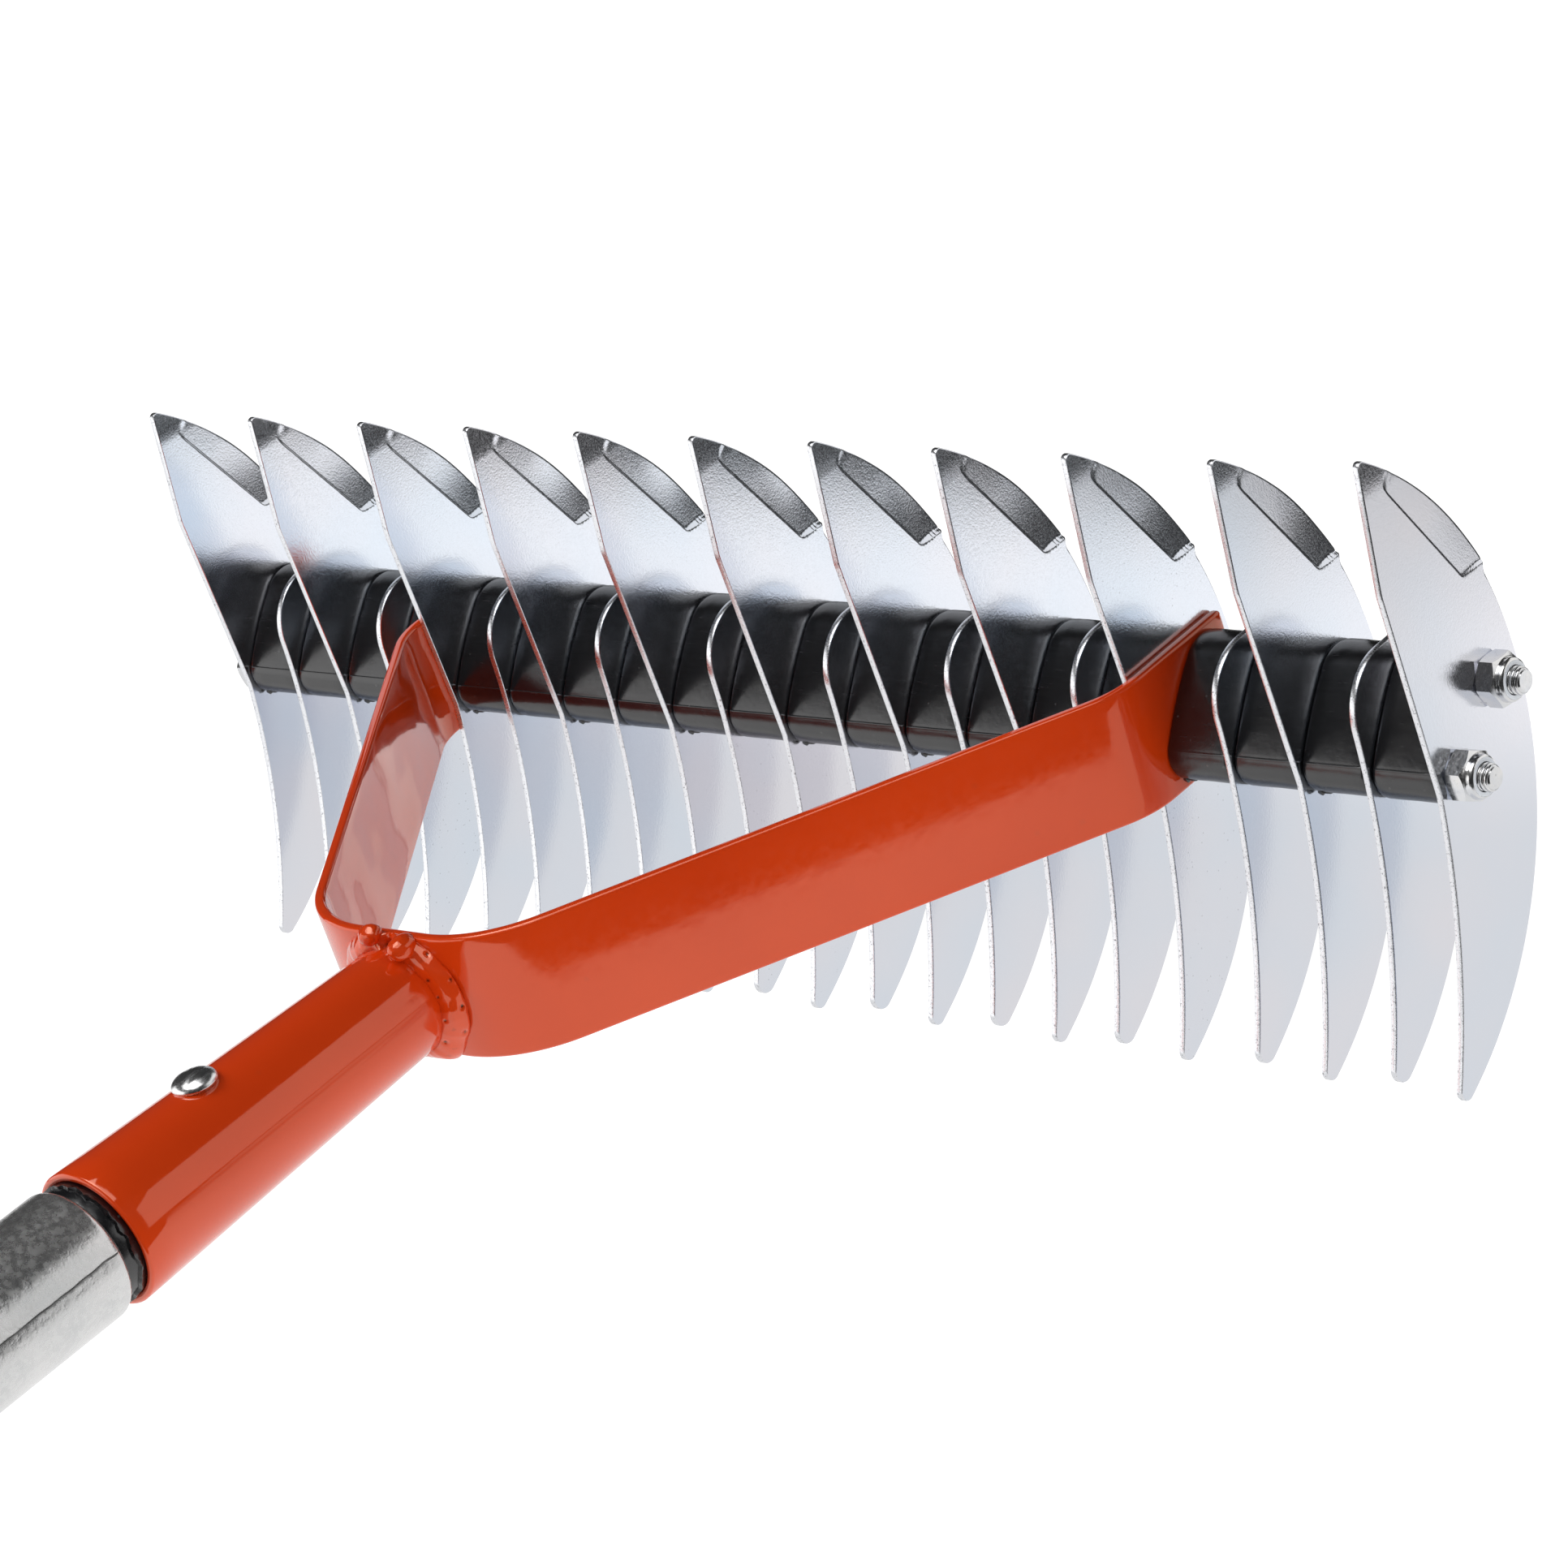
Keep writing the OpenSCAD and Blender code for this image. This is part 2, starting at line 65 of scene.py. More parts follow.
def size(node):
    return (high(node) - low(node)) / MM


upper_bolt = middle("tie_bolt_upper")
lower_bolt = middle("tie_bolt_lower")
ROW = (upper_bolt + lower_bolt) / 2
ROW.x = middle("blade_6").x
BOLT_Y = (upper_bolt.y - ROW.y) / MM
BOLT_Z = (upper_bolt.z - ROW.z) / MM


def local(point):
    """A point of the frame in millimetres about the middle of the row."""
    return (Vector(point) - ROW) / MM


def at(x, y, z):
    """A place in the frame from millimetres about the middle of the row."""
    return ROW + Vector((x, y, z)) * MM


# Sizes of the blades in millimetres, measured in the frame where it shows them
BLADE_T = size("blade_6").x
FAR_R, FAR_REACH, FAR_Z = 79.0, local(high("half_blade_5")).y, 5.0
NEAR_R, NEAR_BACK, NEAR_Z = 160.0, 14.0, 9.9
TOOTH_R, HALF_TOOTH_R = 2.0, 2.8
HEEL = (-16.5, 36.8)
HEEL_LEAN, HEEL_R = math.radians(7.4), 14.0
POINT_R, TIP_Z, KNIFE_R = 1.2, local(high("blade_6")).z, 75.0
HALF_TOP_R, HALF_TOP_Z = 13.0, local(high("half_blade_5")).z
COIN_TOP_Z, COIN_TOP_IN, COIN_LOW_Z, COIN_LOW_W = 57.3, 5.2, 23.5, 4.5
COIN_SWELL, COIN_FLARE, COIN_STEP = 1.4, 3.4, 0.16
COIN_SLOPE, LAST_COIN_SLOPE = math.radians(6.6), math.radians(2.2)
COIN_TOP_R, COIN_END_IN, COIN_END_SLANT = 2.6, 6.2, 0.62
COIN_LEAST_LEAN, COIN_RAMP_AT, COIN_RAMP_LEN = 0.15, 12.0, 20.0
EDGE_R = 0.24

# Sizes of the yoke, socket and handle
BAR_W = size("yoke").z
BAR_T = 2.5
EAR_OUT = size("yoke").x / 2
BASE_BACK = -local(low("yoke")).y
EAR_FRONT = local(high("yoke")).y
EAR_BACK, BASE_LEN = 20.8, 50.0
BASE_BEND_R, EAR_BEND_R = 30.0, 20.0
MOUTH_Y = local(low("socket")).y
SOCKET_LEN = -BASE_BACK - MOUTH_Y
ROOT_R, MOUTH_R, SOCKET_WALL = 12.0, size("socket").x / 2, 1.8
RIVET_Y = local(middle("rivet")).y
HANDLE_R = size("handle_tube").x / 2
HANDLE_END = local(low("handle_tube")).y
SHOULDER_Y = local(low("handle_liner")).y
LINER_R = size("handle_liner").x / 2
CAP_END = local(low("end_cap")).y


# Plane curves, as lists of (along, up) points
def polar(c, r, a):
    return (c[0] + r * math.cos(a), c[1] + r * math.sin(a))


def heading(p, c):
    return math.atan2(p[1] - c[1], p[0] - c[0])


def arc(c, r, a0, a1, gap=0.004):
    count = max(3, math.ceil(abs(a1 - a0) / (2 * math.acos(1 - gap / r))))
    return [polar(c, r, a0 + (a1 - a0) * i / count) for i in range(count + 1)]


def fillet(p0, p, p2, r, gap=0.004):
    """Round of radius r at the corner p between the lines to p0 and p2."""
    u = (Vector(p) - Vector(p0)).normalized()
    w = (Vector(p2) - Vector(p)).normalized()
    bend = math.atan2(u.x * w.y - u.y * w.x, u.dot(w))
    start = Vector(p) - u * r * math.tan(abs(bend) / 2)
    c = start + math.copysign(r, bend) * Vector((-u.y, u.x))
    a0 = heading(start, c)
    return arc(c, r, a0, a0 + bend, gap)


def meet(c1, r1, c2, r2):
    """Where two circles cross, on the left of the line from the first to the second."""
    step = Vector(c2) - Vector(c1)
    d = step.length
    e = step / d
    along = (r1 * r1 - r2 * r2 + d * d) / (2 * d)
    off = math.sqrt(r1 * r1 - along * along)
    return Vector(c1) + along * e + off * Vector((-e.y, e.x))


def tidy(points, least=0.02):
    """The closed curve without points that fall on their neighbours."""
    kept = [Vector(points[0])]
    for p in points[1:]:
        if (Vector(p) - kept[-1]).length > least:
            kept.append(Vector(p))
    if (kept[-1] - kept[0]).length < least:
        kept.pop()
    return kept


def outward(points):
    """Mitred outward directions of a closed curve that runs anticlockwise."""
    result = []
    count = len(points)
    for i in range(count):
        a = (points[i] - points[i - 1]).normalized()
        b = (points[(i + 1) % count] - points[i]).normalized()
        na, nb = Vector((a.y, -a.x)), Vector((b.y, -b.x))
        result.append((na + nb) / max(0.3, 1 + na.dot(nb)))
    return result


def smooth(t):
    t = min(1.0, max(0.0, t))
    return t * t * (3 - 2 * t)


def wobble(x, y=0.0, z=0.0):
    return noise.noise(Vector((x, y, z)))


def around(count):
    """Angles that go evenly round a full turn."""
    return [2 * math.pi * i / count for i in range(count)]


def about(a, r, y):
    """The place at an angle and a radius about the handle's axis."""
    return at(r * math.sin(a), y, r * math.cos(a))


# Shapes are rings of points joined by skins and closed by caps
class Shape:
    def __init__(self):
        self.points = []
        self.faces = []
        self.marks = []

    def ring(self, points, marks=0.0):
        """A ring of points; the marks, one for all or one for each, say where it is cut, where a seam runs
        and where painted shade darkens a hole.
        """
        first = len(self.points)
        self.points.extend(Vector(p) for p in points)
        count = len(self.points) - first
        self.marks.extend(marks if isinstance(marks, list) else [marks] * count)
        return list(range(first, first + count))

    def skin(self, a, b, closed=True):
        count = len(a)
        for i in range(count if closed else count - 1):
            j = (i + 1) % count
            self.faces.append((a[i], a[j], b[j], b[i]))

    def cap(self, ids):
        self.faces.append(tuple(ids))

    def fan(self, ids, point):
        tip = self.ring([point])[0]
        for i in range(len(ids)):
            self.faces.append((ids[i], ids[(i + 1) % len(ids)], tip))

    def sheath(self, rings, ends="open"):
        """Skins along a run of rings, whose ends are open, capped or joined to each other."""
        for a, b in zip(rings, rings[1:]):
            self.skin(a, b)
        if ends == "capped":
            self.cap(rings[0])
            self.cap(rings[-1])
        elif ends == "joined":
            self.skin(rings[-1], rings[0])

    def loft(self, stations, angles, place, ends="open"):
        """Rings of the places that each station gives at the angles, skinned in order."""
        rings = [self.ring([place(a, *station) for a in angles]) for station in stations]
        self.sheath(rings, ends)
        return rings

    def mesh(self, name, sharp=38.0):
        """A closed mesh with outward faces; flat caps stay flat, the rest is smooth."""
        made = bpy.data.meshes.new(name)
        made.from_pydata(self.points, [], self.faces)
        # The marks carry cut edges, the handle's seam and painted shade in the weld's holes
        edge_seam_and_shade_marks = made.attributes.new("edge_seam_and_hole_shade", "FLOAT", "POINT")
        edge_seam_and_shade_marks.data.foreach_set("value", self.marks)
        bm = bmesh.new()
        bm.from_mesh(made)
        bmesh.ops.remove_doubles(bm, verts=bm.verts, dist=1e-7)
        bmesh.ops.recalc_face_normals(bm, faces=bm.faces)
        bm.to_mesh(made)
        bm.free()
        made.set_sharp_from_angle(angle=math.radians(sharp))
        for face in made.polygons:
            face.use_smooth = face.loop_total <= 4
        return made


def show(name, mesh, finish, slot, *nodes):
    """Puts a finished mesh in the scene as a piece that stands for its nodes."""
    piece = bpy.data.objects.new(name, mesh)
    scene.collection.objects.link(piece)
    mesh.materials.clear()
    mesh.materials.append(finish)
    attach(piece, "root")
    if nodes:
        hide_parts(*nodes)


def turned(profile, count, ends="joined"):
    """A profile of (radius, y) turned about the handle's axis."""
    shape = Shape()
    shape.loft(profile, around(count), about, ends)
    return shape


# Node trees are put together from nodes, values and other nodes' outputs
FLOAT, VECTOR, GEOMETRY = "NodeSocketFloat", "NodeSocketVector", "NodeSocketGeometry"
WHITE = (1.0, 1.0, 1.0, 1.0)


class Net:
    """A node tree under construction; an input takes a plain value or an output to link from."""

    def __init__(self, tree):
        self.nodes, self.links = tree.nodes, tree.links

    def feed(self, socket, value):
        if isinstance(value, bpy.types.NodeSocket):
            self.links.new(value, socket)
        else:
            socket.default_value = value

    def add(self, kind, inputs, **settings):
        """A new node with its settings, and with inputs given by name or number."""
        node = self.nodes.new(kind)
        for name, value in settings.items():
            setattr(node, name, value)
        for key, value in inputs.items():
            self.feed(node.inputs[key], value)
        return node

    def calc(self, operation, *values):
        return self.add("ShaderNodeMath", dict(enumerate(values)), operation=operation).outputs[0]

    def span(self, value, low_in, high_in, low_out=0.0, high_out=1.0, soft=False):
        """The value taken from one range to another and held inside it."""
        ends = {"From Min": low_in, "From Max": high_in, "To Min": low_out, "To Max": high_out}
        way = "SMOOTHSTEP" if soft else "LINEAR"
        return self.add("ShaderNodeMapRange", {"Value": value, **ends}, interpolation_type=way).outputs[0]

    def noise(self, place, scale, detail, roughness=0.5):
        inputs = {"Vector": place, "Scale": scale, "Detail": detail, "Roughness": roughness}
        return self.add("ShaderNodeTexNoise", inputs).outputs["Fac"]

    def axes(self, place):
        """The X, Y and Z of the places that a texture coordinate gives."""
        source = self.nodes.new("ShaderNodeTexCoord").outputs[place]
        return self.add("ShaderNodeSeparateXYZ", {0: source}).outputs


def new_group(name, kind, inputs, outputs):
    """A node group with sockets of name, kind and value; gives its net and its inner sockets too."""
    group = bpy.data.node_groups.new(name, kind)
    for title, socket, *value in inputs:
        made = group.interface.new_socket(title, in_out="INPUT", socket_type=socket)
        if value:
            made.default_value = value[0]
    for title, socket in outputs:
        group.interface.new_socket(title, in_out="OUTPUT", socket_type=socket)
    net = Net(group)
    return group, net, net.nodes.new("NodeGroupInput").outputs, net.nodes.new("NodeGroupOutput").inputs


# Shader groups that several finishes share
def make_grain():
    """Fine speckle and its height, over broad soft patches."""
    group, net, into, out = new_group(
        "metal_grain",
        "ShaderNodeTree",
        [
            ("Vector", VECTOR),
            ("Grain scale", FLOAT, 2200.0),
            ("Patch scale", FLOAT, 30.0),
            ("Stretch", VECTOR, (1.0, 1.0, 1.0)),
        ],
        [("Grain", FLOAT), ("Patch", FLOAT), ("Speck", FLOAT)],
    )
    spread = net.add("ShaderNodeVectorMath", {0: into["Vector"], 1: into["Stretch"]}, operation="MULTIPLY")
    cell_scale = net.calc("MULTIPLY", into["Grain scale"], 0.35)
    cells = net.add("ShaderNodeTexVoronoi", {"Vector": into["Vector"], "Scale": cell_scale}).outputs
    chance = net.add("ShaderNodeSeparateColor", {0: cells["Color"]}).outputs[0]
    specks = net.calc("MULTIPLY", net.span(cells["Distance"], 0.16, 0.05), net.span(chance, 0.80, 0.90))
    net.feed(out["Grain"], net.noise(spread.outputs[0], into["Grain scale"], 2.0, 0.65))
    net.feed(out["Patch"], net.noise(into["Vector"], into["Patch scale"], 3.0))
    net.feed(out["Speck"], specks)
    return group


def make_peel():
    """Gentle waves of a sprayed or moulded skin with small pits in it."""
    group, net, into, out = new_group(
        "skin_waves",
        "ShaderNodeTree",
        [
            ("Vector", VECTOR),
            ("Wave scale", FLOAT, 260.0),
            ("Pit scale", FLOAT, 900.0),
            ("Pit depth", FLOAT, 0.3),
        ],
        [("Height", FLOAT), ("Pits", FLOAT)],
    )
    wave = net.noise(into["Vector"], into["Wave scale"], 2.0)
    pits = net.span(net.noise(into["Vector"], into["Pit scale"], 1.0), 0.34, 0.26)
    cut = net.calc("MULTIPLY", pits, into["Pit depth"])
    net.feed(out["Height"], net.calc("SUBTRACT", wave, cut))
    net.feed(out["Pits"], cut)
    return group


GRAIN = make_grain()
PEEL = make_peel()


class Finish(Net):
    """A material under construction: its shader and the few nodes that feed it."""

    def __init__(self, name, **shader):
        self.made = bpy.data.materials.new(name)
        self.made.use_nodes = True
        super().__init__(self.made.node_tree)
        self.shader = self.nodes["Principled BSDF"]
        self.place = self.nodes.new("ShaderNodeTexCoord").outputs["Object"]
        for key, value in shader.items():
            self.feed(self.shader.inputs[key.replace("_", " ")], value)

    def group(self, tree, **values):
        """The outputs of a shader group that reads the object's own places."""
        inputs = {key.replace("_", " "): value for key, value in values.items()}
        return self.add("ShaderNodeGroup", {"Vector": self.place, **inputs}, node_tree=tree).outputs

    def blend(self, mask, first, second):
        """Colour that goes from first to second with the mask; each may be a colour or an output."""
        first, second = ((*c, 1.0) if isinstance(c, tuple) else c for c in (first, second))
        inputs = {"Factor": mask, 6: first, 7: second}
        return self.add("ShaderNodeMix", inputs, data_type="RGBA").outputs[2]

    def patches(self, grain, spread, first, second):
        return self.blend(self.span(grain["Patch"], 0.5 - spread, 0.5 + spread), first, second)

    def specks(self, grain, share, under, colour):
        return self.blend(self.span(grain["Speck"], 0.0, 1.0, 0.0, share), under, colour)

    # Marks of cut edges, the seam line and the painted shade in the weld's holes
    def edge_seam_and_shade_marks(self):
        return self.add("ShaderNodeAttribute", {}, attribute_name="edge_seam_and_hole_shade").outputs["Fac"]

    def done(self, colour, rough, height, strength, depth):
        """Links the colour, the roughness and a bump, and gives back the material."""
        bump = self.add("ShaderNodeBump", {"Height": height, "Strength": strength, "Distance": depth})
        for name, value in (("Base Color", colour), ("Roughness", rough), ("Normal", bump.outputs[0])):
            self.feed(self.shader.inputs[name], value)
        return self.made


def zinc_sheet():
    """Bright sheet; a broad bump sets back the corner above the pocket, where the press held it."""
    finish = Finish("zinc_sheet", Metallic=1.0)
    grain = finish.group(GRAIN, Grain_scale=2100.0, Patch_scale=16.0)
    tint = finish.patches(grain, 0.15, (0.72, 0.775, 0.85), (0.80, 0.79, 0.83))
    specked = finish.specks(grain, 0.35, tint, (0.20, 0.20, 0.22))
    sheared = finish.blend(finish.span(grain["Grain"], 0.58, 0.70), (0.80, 0.81, 0.84), (0.30, 0.30, 0.32))
    edge = finish.edge_seam_and_shade_marks()
    rough = finish.span(grain["Grain"], 0.3, 0.7, 0.12, 0.20)
    bend_low, bend_top = (ROW.z + (COIN_TOP_Z + z) * MM for z in (-1.8, 11.7))
    bent = finish.span(finish.axes("Object")["Z"], bend_low, bend_top, 0.0, -42.0, soft=True)
    return finish.done(
        finish.blend(edge, specked, sheared),
        finish.calc("MULTIPLY_ADD", edge, 0.12, rough),
        finish.calc("ADD", grain["Grain"], bent),
        0.5,
        0.00004,
    )


def zinc_fasteners():
    finish = Finish("zinc_fasteners", Metallic=1.0)
    grain = finish.group(GRAIN, Grain_scale=1100.0, Patch_scale=160.0)
    tint = finish.patches(grain, 0.15, (0.70, 0.72, 0.76), (0.82, 0.81, 0.80))
    specked = finish.specks(grain, 0.6, tint, (0.18, 0.18, 0.19))
    rough = finish.span(grain["Grain"], 0.3, 0.7, 0.14, 0.28)
    return finish.done(specked, rough, grain["Grain"], 0.3, 0.00006)


def orange_paint(name, wave, pit, depth, strength):
    finish = Finish(
        name,
        IOR=1.62,
        Specular_IOR_Level=0.85,
        Specular_Tint=(1.0, 0.56, 0.38, 1.0),
        Coat_Weight=0.3,
        Coat_Roughness=0.03,
    )
    skin = finish.group(PEEL, Wave_scale=wave, Pit_scale=pit, Pit_depth=depth)
    grain = finish.group(GRAIN, Grain_scale=500.0, Patch_scale=22.0)
    coat = finish.patches(grain, 0.2, (0.56, 0.037, 0.0030), (0.62, 0.046, 0.0040))
    # Painted shade: the skin's colour is darker down in its pits
    pit_shaded = finish.blend(skin["Pits"], coat, (0.20, 0.014, 0.003))
    flecked = finish.specks(grain, 0.12, pit_shaded, (0.30, 0.05, 0.02))
    # Near-black painted shade where the marks say a weld hole is
    colour = finish.blend(finish.edge_seam_and_shade_marks(), flecked, (0.012, 0.006, 0.004))
    rough = finish.span(grain["Grain"], 0.3, 0.7, 0.06, 0.11)
    return finish.done(colour, rough, skin["Height"], strength, 0.0003)


def black_plastic():
    finish = Finish("black_plastic", Specular_IOR_Level=0.9)
    streak = finish.group(GRAIN, Grain_scale=1300.0, Patch_scale=70.0, Stretch=(0.12, 1.0, 1.0))
    skin = finish.group(PEEL, Wave_scale=420.0, Pit_scale=1500.0, Pit_depth=0.2)
    tint = finish.patches(streak, 0.15, (0.0025, 0.0025, 0.0035), (0.0055, 0.005, 0.0055))
    specked = finish.specks(streak, 0.5, tint, (0.10, 0.10, 0.10))
    rough = finish.span(streak["Grain"], 0.2, 0.8, 0.20, 0.29)
    height = finish.calc("MULTIPLY_ADD", streak["Grain"], 0.06, skin["Height"])
    return finish.done(specked, rough, height, 0.22, 0.0002)


def galvanised_tube():
    finish = Finish("galvanised_tube", Metallic=0.92)
    grain = finish.group(GRAIN, Grain_scale=650.0, Patch_scale=45.0)
    tint = finish.patches(grain, 0.2, (0.52, 0.53, 0.53), (0.68, 0.665, 0.66))
    specked = finish.blend(finish.span(grain["Grain"], 0.42, 0.62, 0.0, 0.5), tint, (0.70, 0.70, 0.69))
    colour = finish.blend(finish.edge_seam_and_shade_marks(), specked, (0.12, 0.12, 0.12))
    rough = finish.span(grain["Grain"], 0.3, 0.7, 0.20, 0.34)
    return finish.done(colour, rough, grain["Grain"], 0.45, 0.00016)


def bright_steel():
    finish = Finish("bright_steel", Metallic=1.0)
    grain = finish.group(GRAIN, Grain_scale=1400.0, Patch_scale=220.0, Stretch=(1.0, 0.2, 1.0))
    tint = finish.patches(grain, 0.2, (0.86, 0.86, 0.86), (0.76, 0.76, 0.77))
    rough = finish.span(grain["Grain"], 0.35, 0.75, 0.20, 0.34)
    return finish.done(tint, rough, grain["Grain"], 0.12, 0.00005)


def nylon():
    finish = Finish("nylon")
    skin = finish.group(PEEL, Wave_scale=700.0, Pit_scale=2000.0, Pit_depth=0.2)
    grain = finish.group(GRAIN, Grain_scale=900.0, Patch_scale=300.0)
    tint = finish.blend(grain["Patch"], (0.62, 0.66, 0.72), (0.74, 0.76, 0.78))
    rough = finish.span(grain["Grain"], 0.3, 0.7, 0.42, 0.58)
    return finish.done(tint, rough, skin["Height"], 0.2, 0.0002)


ZINC = zinc_sheet()
FASTENER = zinc_fasteners()
PAINT = orange_paint("orange_paint", 170.0, 700.0, 0.0, 0.10)
WELD_PAINT = orange_paint("weld_paint", 300.0, 520.0, 0.30, 0.09)
BLACK = black_plastic()
GALVANISED = galvanised_tube()
BRIGHT = bright_steel()
NYLON = nylon()


# Blade outlines in (along the handle, up), about the middle of the bolts
far_c = Vector((FAR_REACH - FAR_R, FAR_Z))
near_c = Vector((-NEAR_BACK - NEAR_R, NEAR_Z))
lean_up = Vector((math.sin(HEEL_LEAN), math.cos(HEEL_LEAN)))
lean_in = Vector((math.cos(HEEL_LEAN), -math.sin(HEEL_LEAN)))
point_c = (
    Vector(HEEL)
    + POINT_R * lean_in
    + lean_up * (TIP_Z - POINT_R - HEEL[1] + POINT_R * math.sin(HEEL_LEAN)) / math.cos(HEEL_LEAN)
)
waist = Vector((near_c.x + math.sqrt(NEAR_R**2 - (BOLT_Z - NEAR_Z) ** 2), BOLT_Z))
heel_rise = Vector((math.tan(HEEL_LEAN), 1))
coin_top = Vector(HEEL) + (COIN_TOP_Z - HEEL[1]) * heel_rise + Vector((COIN_TOP_IN, 0))
coin_low = Vector((far_c.x + math.sqrt(FAR_R**2 - (COIN_LOW_Z - FAR_Z) ** 2) - COIN_LOW_W, COIN_LOW_Z))
coin_len = (coin_low - coin_top).length
coin_down = (coin_low - coin_top).normalized()
coin_out = Vector((-coin_down.y, coin_down.x))
notch_z = COIN_LOW_Z + COIN_LOW_W * coin_out.y / coin_out.x
notch_a = math.asin((notch_z - FAR_Z) / FAR_R)
knife_low = polar(far_c, FAR_R + COIN_SWELL, notch_a + COIN_FLARE / FAR_R)
knife_c = meet(knife_low, KNIFE_R, point_c, KNIFE_R - POINT_R)


def tooth_part(up, r):
    """The hollow edge from the angle up, round the tooth's tip, and the start of the far edge."""
    c = meet(far_c, FAR_R - r, near_c, NEAR_R + r)
    start = heading(near_c, c)
    start -= 2 * math.pi if start > 0 else 0
    return (
        arc(near_c, NEAR_R, up, heading(c, near_c))
        + arc(c, r, start, heading(c, far_c), 0.002)
        + [polar(far_c, FAR_R, heading(c, far_c))]
    ), heading(c, far_c)


def full_outline():
    points, start = tooth_part(heading(waist, near_c) - math.radians(5), TOOTH_R)
    foot_a = heading(coin_low + Vector((COIN_LOW_W, -2.0)), far_c)
    points += arc(far_c, FAR_R, start, foot_a, 0.002) + arc(far_c, FAR_R, foot_a, notch_a, 0.0003)
    for i in range(1, 10):
        swell = COIN_SWELL * smooth(i / 10)
        points.append(polar(far_c, FAR_R + swell, notch_a + COIN_FLARE / FAR_R * i / 10))
    points += arc(knife_c, KNIFE_R, heading(knife_low, knife_c), heading(point_c, knife_c), 0.0005)
    points += arc(point_c, POINT_R, heading(point_c, knife_c), math.pi - HEEL_LEAN, 0.002)
    points += fillet(point_c - POINT_R * lean_in, HEEL, waist, HEEL_R)
    return tidy(points)


def half_outline():
    c_z = HALF_TOP_Z - HALF_TOP_R
    far = Vector((far_c.x + math.sqrt((FAR_R - HALF_TOP_R) ** 2 - (c_z - FAR_Z) ** 2), c_z))
    near = Vector((near_c.x + math.sqrt((NEAR_R + HALF_TOP_R) ** 2 - (c_z - NEAR_Z) ** 2), c_z))
    points, start = tooth_part(heading(near, near_c), HALF_TOOTH_R)
    points += arc(far_c, FAR_R, start, heading(far, far_c))
    points += arc(far, HALF_TOP_R, heading(far, far_c), math.pi / 2)
    points += arc(near, HALF_TOP_R, math.pi / 2, math.pi + heading(near, near_c))
    return tidy(points)


# The coined pocket's depth at a place down its inner line and out from it
def coin_depth(down, out, slope):
    """A round top, a floor that leans in more and more, and an end wall that slants down to the notch."""
    top = down - COIN_TOP_R + math.sqrt(COIN_TOP_R**2 - max(0.0, COIN_TOP_R - max(0.0, out)) ** 2)
    end = coin_len - COIN_END_IN + COIN_END_SLANT * out - down
    if out <= 0 or top <= 0 or end <= 0:
        return 0.0
    ramp = smooth((down - COIN_RAMP_AT) / COIN_RAMP_LEN)
    lean = math.tan(slope) * (COIN_LEAST_LEAN + (1 - COIN_LEAST_LEAN) * ramp)
    return (COIN_STEP * smooth(out / 0.4) + lean * out) * smooth(end / 0.5) * smooth(top / 2.0)


def blade_shape(outline, slope=None):
    """A stamped blade in millimetres, its middle plane at x = 0; a slope gives it a coined pocket."""
    shape = Shape()
    out = outward(outline)
    half = BLADE_T / 2

    def span(p):
        """How far a point lies down the pocket's inner line, and out from it."""
        return (p - coin_top).dot(coin_down), (p - coin_top).dot(coin_out)

    inner = [p - n * EDGE_R for p, n in zip(outline, out)]
    spans = [span(p) for p in outline]
    sunk = [coin_depth(*span(q), slope) if slope and s[1] > 0 else 0.0 for q, s in zip(inner, spans)]

    def ring(right, inset, x, mark):
        places = []
        for p, n, depth in zip(outline, out, sunk):
            q = p - n * inset
            places.append((half - depth - x if right else -half + x, q.x, q.y))
        return shape.ring(places, mark)

    part = EDGE_R * (1 - math.sqrt(0.5))
    eased = [(EDGE_R, 0.0, 0.0), (part, part, 1.0), (0.0, EDGE_R, 1.0)]
    rings = [ring(False, *step) for step in eased] + [ring(True, *step) for step in reversed(eased)]
    shape.sheath(rings)
    shape.cap(rings[0])
    last = rings[-1]
    if not slope:
        shape.cap(last)
        return shape

    # Columns of points across the pocket, close together at its inner wall
    held = [i for i, (d, o) in enumerate(spans) if -1.0 < d < coin_len + 1.0 and o > 1.6]
    first, end = held[0], held[-1]
    close_rows = [-0.6, -0.25, 0.0, 0.10, 0.20, 0.30, 0.42, 0.60, 0.90, 1.40]
    columns = []
    for i in range(first, end + 1):
        d, o = span(inner[i])
        places = []
        for r in close_rows + [1.40 + (o - 1.40) * k / 18 for k in range(1, 18)]:
            p = coin_top + coin_down * d + coin_out * r
            places.append((half - coin_depth(d, r, slope), p.x, p.y))
        columns.append(shape.ring(places) + [last[i]])
    for a, b in zip(columns, columns[1:]):
        shape.skin(a, b, closed=False)
    low_side, top_side = columns[0], columns[-1]
    shape.cap(
        last[end:]
        + last[: first + 1]
        + low_side[-2:0:-1]
        + [column[0] for column in columns]
        + top_side[1:-1]
    )
    return shape


# Rows of like pieces are set out on the frame's own places
def set_out(net, into, out, shape, rotation):
    """Ends a tree: the shape on every point, made real, in the finish that comes in."""
    placed = net.add(
        "GeometryNodeInstanceOnPoints",
        {"Points": into["Geometry"], "Instance": shape, "Rotation": rotation},
    )
    real = net.add("GeometryNodeRealizeInstances", {0: placed.outputs[0]})
    paint = net.add("GeometryNodeSetMaterial", {"Geometry": real.outputs[0], "Material": into["Finish"]})
    net.feed(out[0], paint.outputs[0])


